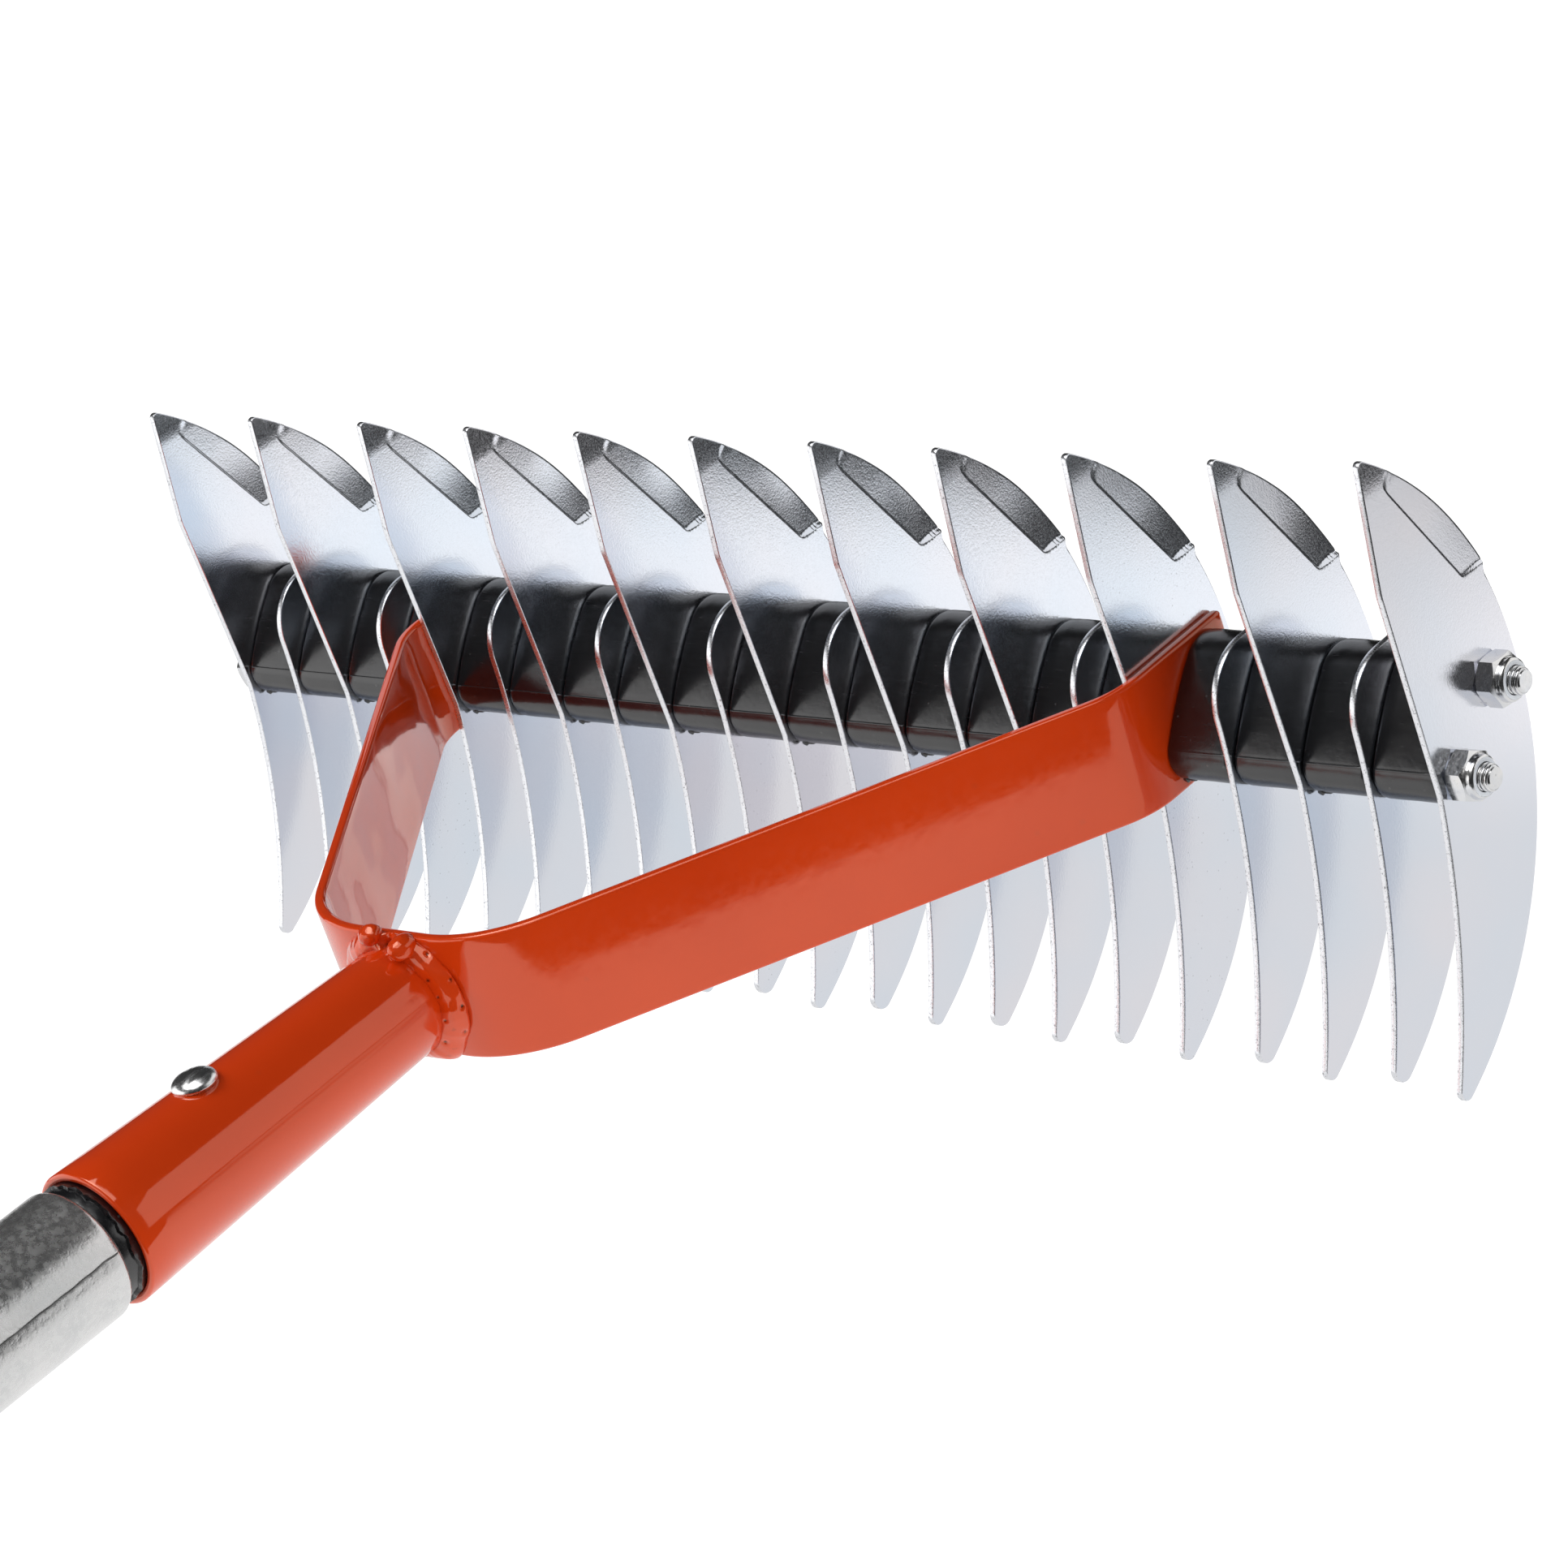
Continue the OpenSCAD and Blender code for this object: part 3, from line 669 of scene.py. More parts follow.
def row_tree():
    """Sets one shape out on a row of places, each turned a little about the row's axis."""
    tree, net, into, out = new_group(
        "row_of_pieces",
        "GeometryNodeTree",
        [
            ("Geometry", GEOMETRY),
            ("Shape", "NodeSocketObject"),
            ("Finish", "NodeSocketMaterial"),
            ("Loose turn", FLOAT),
            ("Seed", "NodeSocketInt"),
        ],
        [("Geometry", GEOMETRY)],
    )
    pattern = net.add("GeometryNodeObjectInfo", {"Object": into["Shape"]})
    chance = net.add("FunctionNodeRandomValue", {2: -1.0, 3: 1.0, "Seed": into["Seed"]}, data_type="FLOAT")
    lean = net.add("GeometryNodeInputNamedAttribute", {"Name": "lean"}, data_type="FLOAT")
    turn = net.calc("MULTIPLY_ADD", chance.outputs[1], into["Loose turn"], lean.outputs["Attribute"])
    axis = net.add("ShaderNodeCombineXYZ", {"X": turn})
    set_out(net, into, out, pattern.outputs["Geometry"], axis.outputs[0])
    return tree


ROW_TREE = row_tree()


def places_mesh(name, places, leans=None):
    made = bpy.data.meshes.new(name)
    made.from_pydata(places, [], [])
    lean = made.attributes.new("lean", "FLOAT", "POINT")
    lean.data.foreach_set("value", leans or [0.0] * len(places))
    return made


def grown(name, mesh, tree, values):
    """Evaluates a tree on a mesh of places, with values by input name, and gives back the plain mesh."""
    holder = bpy.data.objects.new(name, mesh)
    scene.collection.objects.link(holder)
    made_by = holder.modifiers.new(name, "NODES")
    made_by.node_group = tree
    for socket in tree.interface.items_tree:
        if socket.in_out == "INPUT" and socket.name in values:
            made_by[socket.identifier] = values[socket.name]
    graph = bpy.context.evaluated_depsgraph_get()
    result = bpy.data.meshes.new_from_object(
        holder.evaluated_get(graph), preserve_all_data_layers=True, depsgraph=graph
    )
    holder.modifiers.remove(made_by)
    bpy.data.objects.remove(holder)
    return result


def row(name, shape, nodes, finish, slot, turn=0.0, seed=1, leans=None):
    """The shape at each node's place along the row, as one piece."""
    pattern = bpy.data.objects.new(name + "_pattern", shape.mesh(name + "_pattern"))
    pattern.data.transform(Matrix.Scale(MM, 4))
    scene.collection.objects.link(pattern)
    places = [Vector((middle(n).x, ROW.y, ROW.z)) for n in nodes]
    values = {"Shape": pattern, "Finish": finish, "Loose turn": turn, "Seed": seed}
    made = grown(name, places_mesh(name + "_places", places, leans), ROW_TREE, values)
    bpy.data.objects.remove(pattern)
    show(name, made, finish, slot, *nodes)


# The last blade on the right stands a degree off the others and is coined less
BLADE_PLAY, SPACER_PLAY, LAST_LEAN = math.radians(0.15), math.radians(0.4), math.radians(-1.2)
full_blade = blade_shape(full_outline(), COIN_SLOPE)
last_blade = blade_shape(full_outline(), LAST_COIN_SLOPE)
half_blade = blade_shape(half_outline())
row("full_blades", full_blade, FULL_BLADES[:-1], ZINC, "zinc_sheet", BLADE_PLAY, 3)
row("last_blade", last_blade, FULL_BLADES[-1:], ZINC, "zinc_sheet", leans=[LAST_LEAN])
row("half_blades", half_blade, HALF_BLADES, ZINC, "zinc_sheet", BLADE_PLAY, 8)


# Spacers: an egg-shaped section with eased ends and a parting ridge; some carry a nub of flash
BOLT_GAP = math.hypot(BOLT_Y, BOLT_Z) * 2
SLANT = math.atan2(BOLT_Z, BOLT_Y)
SPACER_LEN = size("spacer_5").x
WIDE_R, WIDE_IN, NARROW_R, SIDE_R = 8.7, 3.0, 6.0, 80.0
PARTING = math.radians(152) - SLANT


def spacer_outline():
    """Two rounds joined by slightly bulged sides, with a fine ridge where the mould parts."""
    wide, narrow = (BOLT_GAP - WIDE_IN, 0), (0, 0)
    over = meet(narrow, SIDE_R - NARROW_R, wide, SIDE_R - WIDE_R)
    under = (over.x, -over.y)
    at_wide, at_narrow = heading(wide, under), heading(narrow, under)
    points = arc(wide, WIDE_R, -at_wide, at_wide) + arc(under, SIDE_R, at_wide, at_narrow)
    nose = arc(narrow, NARROW_R, at_narrow, 2 * math.pi - at_narrow, 0.002)
    turns = [heading(p, narrow) % (2 * math.pi) for p in nose]
    turns = sorted(turns + [PARTING - 0.02, PARTING, PARTING + 0.02])
    points += [polar(narrow, NARROW_R + 0.10 * smooth(1 - abs(a - PARTING) / 0.03), a) for a in turns]
    points += arc(over, SIDE_R, -at_narrow, -at_wide)
    turned_points = []
    for p in points:
        reach, a = math.hypot(*p), heading(p, narrow) + SLANT
        turned_points.append((reach * math.cos(a) - BOLT_Y, reach * math.sin(a) - BOLT_Z))
    return tidy(turned_points, 0.05)


def flash_nub(shape, x, long, tall):
    """A ragged nub of flash under the spacer's narrow round."""
    under = polar((-BOLT_Y, -BOLT_Z), NARROW_R - 0.1, math.radians(235))
    rings = []
    for i in range(1, 8):
        a = math.pi * i / 8
        r = math.sin(a) * (1 + 0.3 * wobble(i * 0.7, x))
        reaches = [tall * r * (1 + 0.3 * wobble(i, k * 0.8, x)) for k in range(12)]
        places = [polar(under, reach, k * math.pi / 6) for k, reach in enumerate(reaches)]
        rings.append(shape.ring([(x - long * math.cos(a), *p) for p in places]))
    shape.sheath(rings, "capped")


def spacer_shape(flash):
    shape = Shape()
    outline = spacer_outline()
    out = outward(outline)
    half = SPACER_LEN / 2
    eased = [(0.0, 0.95), (0.10, 0.60), (0.30, 0.32), (0.65, 0.11), (1.2, 0.0)]
    waist_sink = [(-half / 2, -0.02), (0.0, 0.03), (half / 2, -0.02)]
    stations = [(x - half, i) for x, i in eased] + waist_sink + [(half - x, i) for x, i in reversed(eased)]
    rings = []
    for x, inset in stations:
        rings.append(shape.ring([(x, *(p - n * inset)) for p, n in zip(outline, out)]))
    shape.sheath(rings, "capped")
    for along, long, tall in flash:
        flash_nub(shape, along - half, long, tall)
    return shape


FLASH = [(1.5, 0.9, 0.75), (3.0, 1.3, 0.4)]
row("spacers", spacer_shape([]), SPACERS[1::2], BLACK, "black_plastic", SPACER_PLAY, 5)
row("flashed_spacers", spacer_shape(FLASH), SPACERS[0::2], BLACK, "black_plastic", SPACER_PLAY, 6)


# Hex forms: heads and nuts, with the corners turned off to a cone
HEX_AF, HEAD_H, NUT_HEX_H = 10.0, 4.0, 4.4
BOLT_R, CORE_R, BORE_R, DISH_R, BOLT_TIP_R = 3.0, 2.52, 3.05, 2.4, 2.15
ROW_END = local(low("lock_nuts")).x
BOLT_END = local(high("tie_bolt_upper")).x
HEAD_OUT = local(low("tie_bolt_upper")).x


def fastener_rings(shape, y, z, turn):
    """Makers of round and hexagon rings about a bolt's axis."""

    def spot(x, r, a):
        return at(x, y + r * math.cos(a + turn), z + r * math.sin(a + turn))

    def disc(x, r):
        return shape.ring([spot(x, r, a) for a in around(72)])

    def hexagon(x, off=0.0, flat_r=None, way=1):
        """The corners fall away at thirty degrees outside the flat circle, where one is given."""
        places = []
        for a in around(72):
            r = (HEX_AF / 2 - off) / math.cos((a % (math.pi / 3)) - math.pi / 6)
            fall = max(0.0, r - flat_r) * math.tan(math.radians(30)) * way if flat_r else 0.0
            places.append(spot(x - fall, r, a))
        return shape.ring(places)

    return disc, hexagon


def tie_bolt(name, node, y, z, turn):
    shape = Shape()
    disc, hexagon = fastener_rings(shape, y, z, turn)
    inner = HEAD_OUT + HEAD_H
    flat_r = HEX_AF / 2 - 0.35
    rings = [
        disc(HEAD_OUT + 0.25, DISH_R),
        disc(HEAD_OUT, BOLT_R),
        disc(HEAD_OUT, flat_r),
        hexagon(HEAD_OUT, 0.0, flat_r, -1),
        hexagon(inner - 0.15),
        hexagon(inner, 0.15),
        disc(inner, BOLT_R),
        disc(ROW_END, BOLT_R),
        disc(ROW_END + 0.6, CORE_R),
        disc(BOLT_END - 0.55, CORE_R),
        disc(BOLT_END, BOLT_TIP_R),
    ]
    shape.sheath(rings, "capped")
    show(name, shape.mesh(name, 30.0), FASTENER, "zinc_fasteners", node)


tie_bolt("long_bolt_upper", "tie_bolt_upper", BOLT_Y, BOLT_Z, math.radians(11))
tie_bolt("long_bolt_lower", "tie_bolt_lower", -BOLT_Y, -BOLT_Z, math.radians(38))


def lock_nut(shape, y, z, turn):
    """Nut with chamfered corners, a rolled collar and a bore for the thread."""
    disc, hexagon = fastener_rings(shape, y, z, turn)
    top = ROW_END + NUT_HEX_H
    low_flat, top_flat = HEX_AF / 2 - 0.3, HEX_AF / 2 - 0.25
    rings = [
        disc(ROW_END, BORE_R),
        disc(ROW_END, low_flat),
        hexagon(ROW_END, 0.0, low_flat, -1),
        hexagon(top, 0.0, top_flat, 1),
        disc(top, top_flat),
    ]
    collar = [(0.02, 4.62), (0.25, 4.50), (0.8, 4.50), (1.25, 4.42), (1.55, 4.22)]
    collar += [(1.69, 3.95), (1.62, 3.72), (1.3, 3.66), (0.1, 3.66)]
    rings += [disc(top + x, r) for x, r in collar] + [disc(top, BORE_R)]
    shape.sheath(rings, "joined")


nuts = Shape()
lock_nut(nuts, BOLT_Y, BOLT_Z, math.radians(-3))
lock_nut(nuts, -BOLT_Y, -BOLT_Z, math.radians(30))
show("nuts", nuts.mesh("nuts", 30.0), FASTENER, "zinc_fasteners", "lock_nuts")

# The carried-over rings of the lock nuts keep their solids
ring_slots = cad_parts["nylon_rings"].data.materials
for i in range(len(ring_slots)):
    ring_slots[i] = NYLON


def thread_tree():
    """A ridge wound along each bolt's end."""
    sizes = ("Radius", "Ridge", "Length", "Turns")
    tree, net, into, out = new_group(
        "bolt_thread",
        "GeometryNodeTree",
        [("Geometry", GEOMETRY), *((name, FLOAT) for name in sizes), ("Finish", "NodeSocketMaterial")],
        [("Geometry", GEOMETRY)],
    )
    wound = net.add(
        "GeometryNodeCurveSpiral",
        {
            "Resolution": 40,
            "Rotations": into["Turns"],
            "Start Radius": into["Radius"],
            "End Radius": into["Radius"],
            "Height": into["Length"],
        },
    )
    ridge = net.add("GeometryNodeCurvePrimitiveCircle", {"Resolution": 4, "Radius": into["Ridge"]})
    swept = net.add(
        "GeometryNodeCurveToMesh",
        {"Curve": wound.outputs[0], "Profile Curve": ridge.outputs[0], "Fill Caps": True},
    )
    set_out(net, into, out, swept.outputs[0], (0.0, math.pi / 2, 0.0))
    return tree


THREAD_PITCH, THREAD_RIDGE = 1.0, 0.46
THREAD_LEN = BOLT_END - ROW_END - 1.2
thread_mesh = grown(
    "bolt_threads",
    places_mesh("thread_places", [at(ROW_END + 0.7, BOLT_Y, BOLT_Z), at(ROW_END + 0.7, -BOLT_Y, -BOLT_Z)]),
    thread_tree(),
    {
        "Radius": CORE_R * MM,
        "Ridge": THREAD_RIDGE * MM,
        "Length": THREAD_LEN * MM,
        "Turns": THREAD_LEN / THREAD_PITCH,
        "Finish": FASTENER,
    },
)
show("bolt_threads", thread_mesh, FASTENER, "zinc_fasteners")


# Yoke: one flat bar with eased edges, bent four times
BAR_CORNER, WAVE_H = 0.85, 0.24


def yoke_path():
    """Places and inward directions along the bar's outer face, from the left ear to the right."""
    corners = [
        Vector((-EAR_OUT, EAR_FRONT)),
        Vector((-EAR_OUT, -EAR_BACK)),
        Vector((-BASE_LEN / 2, -BASE_BACK)),
        Vector((BASE_LEN / 2, -BASE_BACK)),
        Vector((EAR_OUT, -EAR_BACK)),
        Vector((EAR_OUT, EAR_FRONT)),
    ]
    bends = [EAR_BEND_R, BASE_BEND_R, BASE_BEND_R, EAR_BEND_R]
    path = []

    def straight(a, b):
        along = (b - a).normalized()
        count = max(2, round((b - a).length / 2.5))
        for i in range(count + 1):
            path.append((a + (b - a) * i / count, Vector((-along.y, along.x))))

    start = corners[0]
    for i, r in enumerate(bends):
        p0, p, p2 = corners[i], corners[i + 1], corners[i + 2]
        bend = [Vector(q) for q in fillet(p0, p, p2, r, 0.006)]
        straight(start, bend[0])
        for j in range(1, len(bend) - 1):
            along = (bend[j + 1] - bend[j - 1]).normalized()
            path.append((bend[j], Vector((-along.y, along.x))))
        start = bend[-1]
    straight(start, corners[-1])
    kept = [path[0]]
    for place in path[1:]:
        if (place[0] - kept[-1][0]).length > 0.05:
            kept.append(place)
    return kept


def bar_section(inset):
    """Section of the bar as (in from the outer face, up), anticlockwise."""
    half_t, half_w = BAR_T / 2 - inset, BAR_W / 2 - inset
    r = max(0.05, BAR_CORNER - inset)
    points = []
    for u, v, a in ((1, -1, -90), (1, 1, 0), (-1, 1, 90), (-1, -1, 180)):
        c = (u * (half_t - r), v * (half_w - r))
        points += [polar(c, r, math.radians(a + 90 * i / 5)) for i in range(6)]
        if u == -v:
            points += [(u * half_t, v * (half_w - r) * (1 - 2 * k / 12)) for k in range(1, 12)]
    return [(x + BAR_T / 2, z) for x, z in points]


def bar_wave(p, z):
    """How far the bending has left the bar's inner face off flat."""
    return wobble(p.x * 0.05, p.y * 0.05, z * 0.11) + 0.2 * wobble(p.x * 0.15, p.y * 0.15, z * 0.2)


def yoke_shape():
    shape = Shape()
    path = yoke_path()

    def ring(place, inward, back, inset):
        p = place - Vector((0.0, back))
        places = []
        for u, z in bar_section(inset):
            if u > BAR_T - 0.01:
                u += WAVE_H * smooth((BAR_W / 2 - BAR_CORNER - abs(z)) / 4) * bar_wave(p, z)
            places.append(at((p + inward * u).x, (p + inward * u).y, z))
        return shape.ring(places)

    part = BAR_CORNER * (1 - math.sqrt(0.5))
    eased = [(0.0, 0.6), (part, part), (BAR_CORNER, 0.0)]
    rings = [ring(*path[0], back, inset) for back, inset in eased]
    rings += [ring(place, inward, 0.0, 0.0) for place, inward in path[1:-1]]
    rings += [ring(*path[-1], back, inset) for back, inset in reversed(eased)]
    shape.sheath(rings, "capped")
    return shape


show("bent_bar", yoke_shape().mesh("bent_bar"), PAINT, "orange_paint", "yoke")


# Socket: a cone with a rounded rim, and the bead that joins it to the yoke
def socket_r(back):
    return ROOT_R + (MOUTH_R - ROOT_R) * back / SOCKET_LEN


def socket_profile():
    rim = SOCKET_WALL / 2 + 0.1
    outer = [(socket_r(t), -BASE_BACK - t) for t in [SOCKET_LEN * i / 24 for i in range(23)]]
    c = (socket_r(SOCKET_LEN - rim) - rim, MOUTH_Y + rim)
    lip = [polar(c, rim, math.radians(-20 - 160 * i / 12)) for i in range(13)]
    inner = [(socket_r(SOCKET_LEN - t) - SOCKET_WALL, MOUTH_Y + t) for t in (6.0, 30.0, SOCKET_LEN)]
    return outer + lip + inner


show("cone_socket", turned(socket_profile(), 120).mesh("cone_socket"), PAINT, "orange_paint", "socket")


def weld_lump(shape, turn, r, back, radii):
    """A rounded drop on the bead; its radii run along the bead, outward and back."""
    a = math.radians(turn)
    y = -BASE_BACK - back

    def place(c, b):
        way = Vector((math.sin(b) * math.cos(c), math.sin(b) * math.sin(c), math.cos(b)))
        bulge = 1 + 0.10 * noise.noise(way * 1.3 + Vector((turn, 0.0, 0.0)))
        along, out, behind = (w * s * bulge for w, s in zip(way, radii))
        x = (r + out) * math.sin(a) + along * math.cos(a)
        z = (r + out) * math.cos(a) - along * math.sin(a)
        return at(x, y - behind, z)

    rings = shape.loft([(math.pi * i / 20,) for i in range(1, 20)], around(40), place)
    shape.fan(rings[0], about(a, r, y - radii[2]))
    shape.fan(rings[-1], about(a, r, y + radii[2]))


# The bead's lumps as (degrees round, width, height) and its holes as (degrees, across, width, depth)
WELD_LUMPS = [
    (-13.0, 14.0, 0.6),
    (6.0, 8.0, -0.9),
    (24.0, 15.0, 0.6),
    (58.0, 16.0, 0.3),
    (96.0, 16.0, 0.35),
]
WELD_HOLES = [
    (6.0, 0.60, 2.0, 2.4),
    (46.0, 0.12, 0.5, 0.6),
    (62.0, 0.85, 0.6, 0.6),
    (71.0, 0.10, 0.5, 0.6),
    (80.0, 0.88, 0.5, 0.5),
    (93.0, 0.12, 0.6, 0.7),
    (104.0, 0.86, 0.5, 0.6),
    (117.0, 0.15, 0.5, 0.6),
    (131.0, 0.80, 0.6, 0.6),
]
WELD_BORE, WELD_BACK, WELD_IN, WELD_FOOT = 10.5, 3.0, 0.8, 4.0
BAR_LEG, TUBE_LEG, BEAD_PROUD, BEAD_SLANT = 4.4, 3.4, 0.85, 0.72


def off_turn(turn, where):
    """Degrees from one place on the bead to another, the short way round."""
    return (turn - where + 180) % 360 - 180


def within_bar(a, r, spare):
    """A radius held within the bar's width and what there is to spare."""
    return min(r, (BAR_W / 2 + spare) / max(0.05, abs(math.cos(a))))


def weld_shape():
    """Bead round the socket's root: two proud drops, a dip between them and small sink holes."""
    shape = Shape()
    count, across = 320, 20
    rings = []
    for j in range(across + 1):
        t = j / across
        places, hole_shade = [], []
        for i in range(count):
            turn = 360.0 * i / count
            a = math.radians(turn)
            cx, cz = math.sin(a), math.cos(a)
            bar_leg = BAR_LEG + wobble(cx * 2.1, cz * 2.1, 3.0) + 0.15 * wobble(cx * 8, cz * 8, 5.0)
            tube_leg = TUBE_LEG + 1.2 * wobble(cx * 2.6, cz * 2.6, 9.0)
            tube_leg += 0.15 * wobble(cx * 9, cz * 9, 2.0)
            proud = BEAD_PROUD + 0.25 * wobble(cx * 2, cz * 2, t)
            for where, width, tall in WELD_LUMPS:
                proud += tall * math.exp(-((off_turn(turn, where) / width) ** 2) * 2.2)
            crown = math.sin(math.pi * t) ** 0.75 * proud
            hole_shade_share = 0.0
            for where, part, wide, deep in WELD_HOLES:
                away = math.radians(off_turn(turn, where)) * (ROOT_R + 2)
                far = math.hypot(away, (t - part) * 6.0)
                crown -= deep * math.exp(-((far / wide) ** 2)) * math.sin(math.pi * t) ** 0.4
                # Each hole's mark paints near-black shade into it
                hole_shade_share = max(hole_shade_share, smooth(1.5 * math.exp(-((1.3 * far / wide) ** 2)) - 0.4))
            hole_shade.append(hole_shade_share)
            reach = within_bar(a, ROOT_R + bar_leg, 0.4)
            r = reach + (socket_r(tube_leg) - reach) * t + crown * BEAD_SLANT
            places.append(about(a, r, -BASE_BACK - tube_leg * t - crown * BEAD_SLANT))
        rings.append(shape.ring(places, hole_shade))
    turns = around(count)
    tube_y, bar_y = -BASE_BACK - WELD_BACK, -BASE_BACK + WELD_IN
    rings.append(shape.ring([about(a, WELD_BORE, tube_y) for a in turns]))
    rings.append(shape.ring([about(a, WELD_BORE, bar_y) for a in turns]))
    rings.append(shape.ring([about(a, within_bar(a, ROOT_R + WELD_FOOT, -0.4), bar_y) for a in turns]))
    shape.sheath(rings, "joined")
    weld_lump(shape, -12.0, 14.8, 1.5, (2.9, 2.3, 2.4))
    weld_lump(shape, 27.0, 14.7, 2.2, (2.7, 2.5, 3.6))
    return shape


show("weld", weld_shape().mesh("weld", 60.0), WELD_PAINT, "orange_paint", "weld_bead")


# Rivet: a low domed head with a thin lip and a few dents, its shank and its spread foot
def rivet_shape():
    shape = Shape()
    seat = socket_r(-RIVET_Y - BASE_BACK)
    head_r, head_h = size("rivet").x / 2, local(high("rivet")).z - seat
    lip_h, dent_h, brim = 0.35, 0.26, head_r - 0.5
    foot = local(low("rivet")).z
    turns = around(64)

    def ring(r, z, dent=0.0):
        places = []
        for a in turns:
            x, y = r * math.cos(a), r * math.sin(a)
            places.append(at(x, RIVET_Y + y, z - dent * max(0.0, wobble(x * 0.9 + 4.0, y * 0.45, 2.0))))
        return shape.ring(places)

    rings = []
    for degrees in (6, 12, 18, 25, 32, 40, 48, 56, 64, 72, 79, 85, 90):
        b = math.radians(degrees)
        dome = seat + lip_h + (head_h - lip_h) * math.cos(b)
        rings.append(ring(head_r * math.sin(b), dome, dent_h * math.cos(b) ** 2))
    rings.append(ring(head_r - 0.05, seat + 0.12))

    # The brim's underside follows the socket's round
    places = []
    for a in turns:
        x, y = brim * math.cos(a), brim * math.sin(a)
        places.append(at(x, RIVET_Y + y, min(seat - 0.1, math.sqrt(seat**2 - x**2) + 0.05)))
    rings.append(shape.ring(places))
    shank = [(2.4, seat - 1.4), (2.4, foot + 3.4), (3.4, foot + 2.4), (3.2, foot + 0.9), (2.3, foot)]
    rings += [ring(r, z) for r, z in shank]
    shape.sheath(rings)
    shape.fan(rings[0], at(0, RIVET_Y, seat + head_h - 0.05))
    shape.cap(rings[-1])
    return shape


show("domed_rivet", rivet_shape().mesh("domed_rivet", 50.0), BRIGHT, "bright_steel", "rivet")


# Liner: a sleeve with a ragged edge in the gap between socket and handle
def liner_shape():
    shape = Shape()
    wall, rag_out, rag_along = 1.6, 0.2, 0.6
    inner_end = local(high("handle_liner")).y
    deep = socket_r(-BASE_BACK - inner_end) - SOCKET_WALL - 0.1
    stations = [
        (LINER_R, MOUTH_Y + 2.0, 0.0),
        (LINER_R, MOUTH_Y - 0.3, 0.1),
        (LINER_R + 0.30, MOUTH_Y - 1.3, 0.9),
        (LINER_R + 0.34, MOUTH_Y - 1.6, 0.9),
        (LINER_R - 0.35, MOUTH_Y - 1.8, 0.9),
        (LINER_R - 0.40, MOUTH_Y - 2.7, 0.3),
        (LINER_R - 0.6, SHOULDER_Y + 0.1, 0.0),
        (LINER_R - wall, SHOULDER_Y, 0.0),
        (LINER_R - wall, MOUTH_Y, 0.0),
        (deep - wall, inner_end, 0.0),
        (deep, inner_end, 0.0),
    ]

    def torn(a, r, y, rag):
        broad = wobble(math.cos(a) * 7, math.sin(a) * 7, y * 0.8)
        tear = broad + 0.6 * wobble(math.cos(a) * 19, math.sin(a) * 19, y)
        return about(a, r + rag * rag_out * tear, y + rag * rag_along * tear)

    shape.loft(stations, around(180), torn, "joined")
    return shape


show("ragged_liner", liner_shape().mesh("ragged_liner"), BLACK, "black_plastic", "handle_liner")


# Handle: a rolled tube with a lengthwise seam, drawn in to a neck at the shoulder
SEAM_AT, SEAM_GROOVE, SEAM_RIDGE = math.radians(78), 0.24, 0.09
SHOULDER_R, HANDLE_WALL = 2.2, 1.2
NECK_R = LINER_R - 1.7


def off_seam(a):
    """Degrees from the seam to an angle round the tube."""
    return math.degrees((a - SEAM_AT + math.pi) % (2 * math.pi) - math.pi)


def handle_profile():
    """The tube's outer and inner faces as (radius, y, how much of the seam shows)."""
    neck_end = local(high("handle_tube")).y
    neck_deep = socket_r(-BASE_BACK - neck_end) - SOCKET_WALL - 1.8
    profile = [(neck_deep, neck_end, 0.0), (NECK_R, MOUTH_Y, 0.0), (NECK_R, SHOULDER_Y + 0.2, 0.0)]
    start = SHOULDER_Y - SHOULDER_R
    for i in range(9):
        r, y = polar((HANDLE_R - SHOULDER_R, start), SHOULDER_R, math.radians(90 - 90 * i / 8))
        profile.append((r, y, i / 8))
    rows = 420
    profile += [(HANDLE_R, start + (HANDLE_END - start) * i / rows, 1.0) for i in range(1, rows + 1)]
    inside = [
        (HANDLE_R, HANDLE_END),
        (HANDLE_R, start - 1.0),
        (NECK_R, SHOULDER_Y - 1.0),
        (NECK_R, MOUTH_Y),
        (neck_deep, neck_end),
    ]
    return profile + [(r - HANDLE_WALL, y, 0.0) for r, y in inside]


def handle_shape():
    shape = Shape()
    near_seam = [-3.2, -1.8, -1.0, -0.45, 0.0, 0.45, 1.0, 1.8, 3.2]
    turns = [a for a in around(72) if abs(off_seam(a)) > 4]
    turns = sorted(turns + [(SEAM_AT + math.radians(d)) % (2 * math.pi) for d in near_seam])
    rings = []
    for r, y, shown in handle_profile():
        wander = math.radians(1.3) * wobble(y * 0.22, 4.0) + math.radians(0.9) * wobble(y * 0.06, 7.0)
        places, marks = [], []
        for a in turns:
            off = abs(off_seam(a))
            groove = 1.0 - smooth(off / 1.0)
            ridge = smooth(1 - abs(off - 1.4) / 1.2)
            rise = SEAM_RIDGE * ridge * (0.6 + wobble(y * 0.5, 2.0))
            reach = r + shown * (-SEAM_GROOVE * groove + rise)
            shift = wander * shown * (1.0 - smooth(off / 6.0))
            places.append(about(a + shift, reach, y))
            marks.append(groove * shown * smooth(0.75 + wobble(y * 0.35, 11.0)))
        rings.append(shape.ring(places, marks))
    shape.sheath(rings, "joined")
    return shape


handle_mesh = handle_shape().mesh("seamed_handle", 50.0)
show("seamed_handle", handle_mesh, GALVANISED, "galvanised_tube", "handle_tube")


# End cap: a plug with an eased flange and a flat hanging tab
TAB_W, TAB_T, HANG_R, FLANGE_T = 22.0, 12.0, 4.5, 4.0
HANG_Y = CAP_END + TAB_W / 2


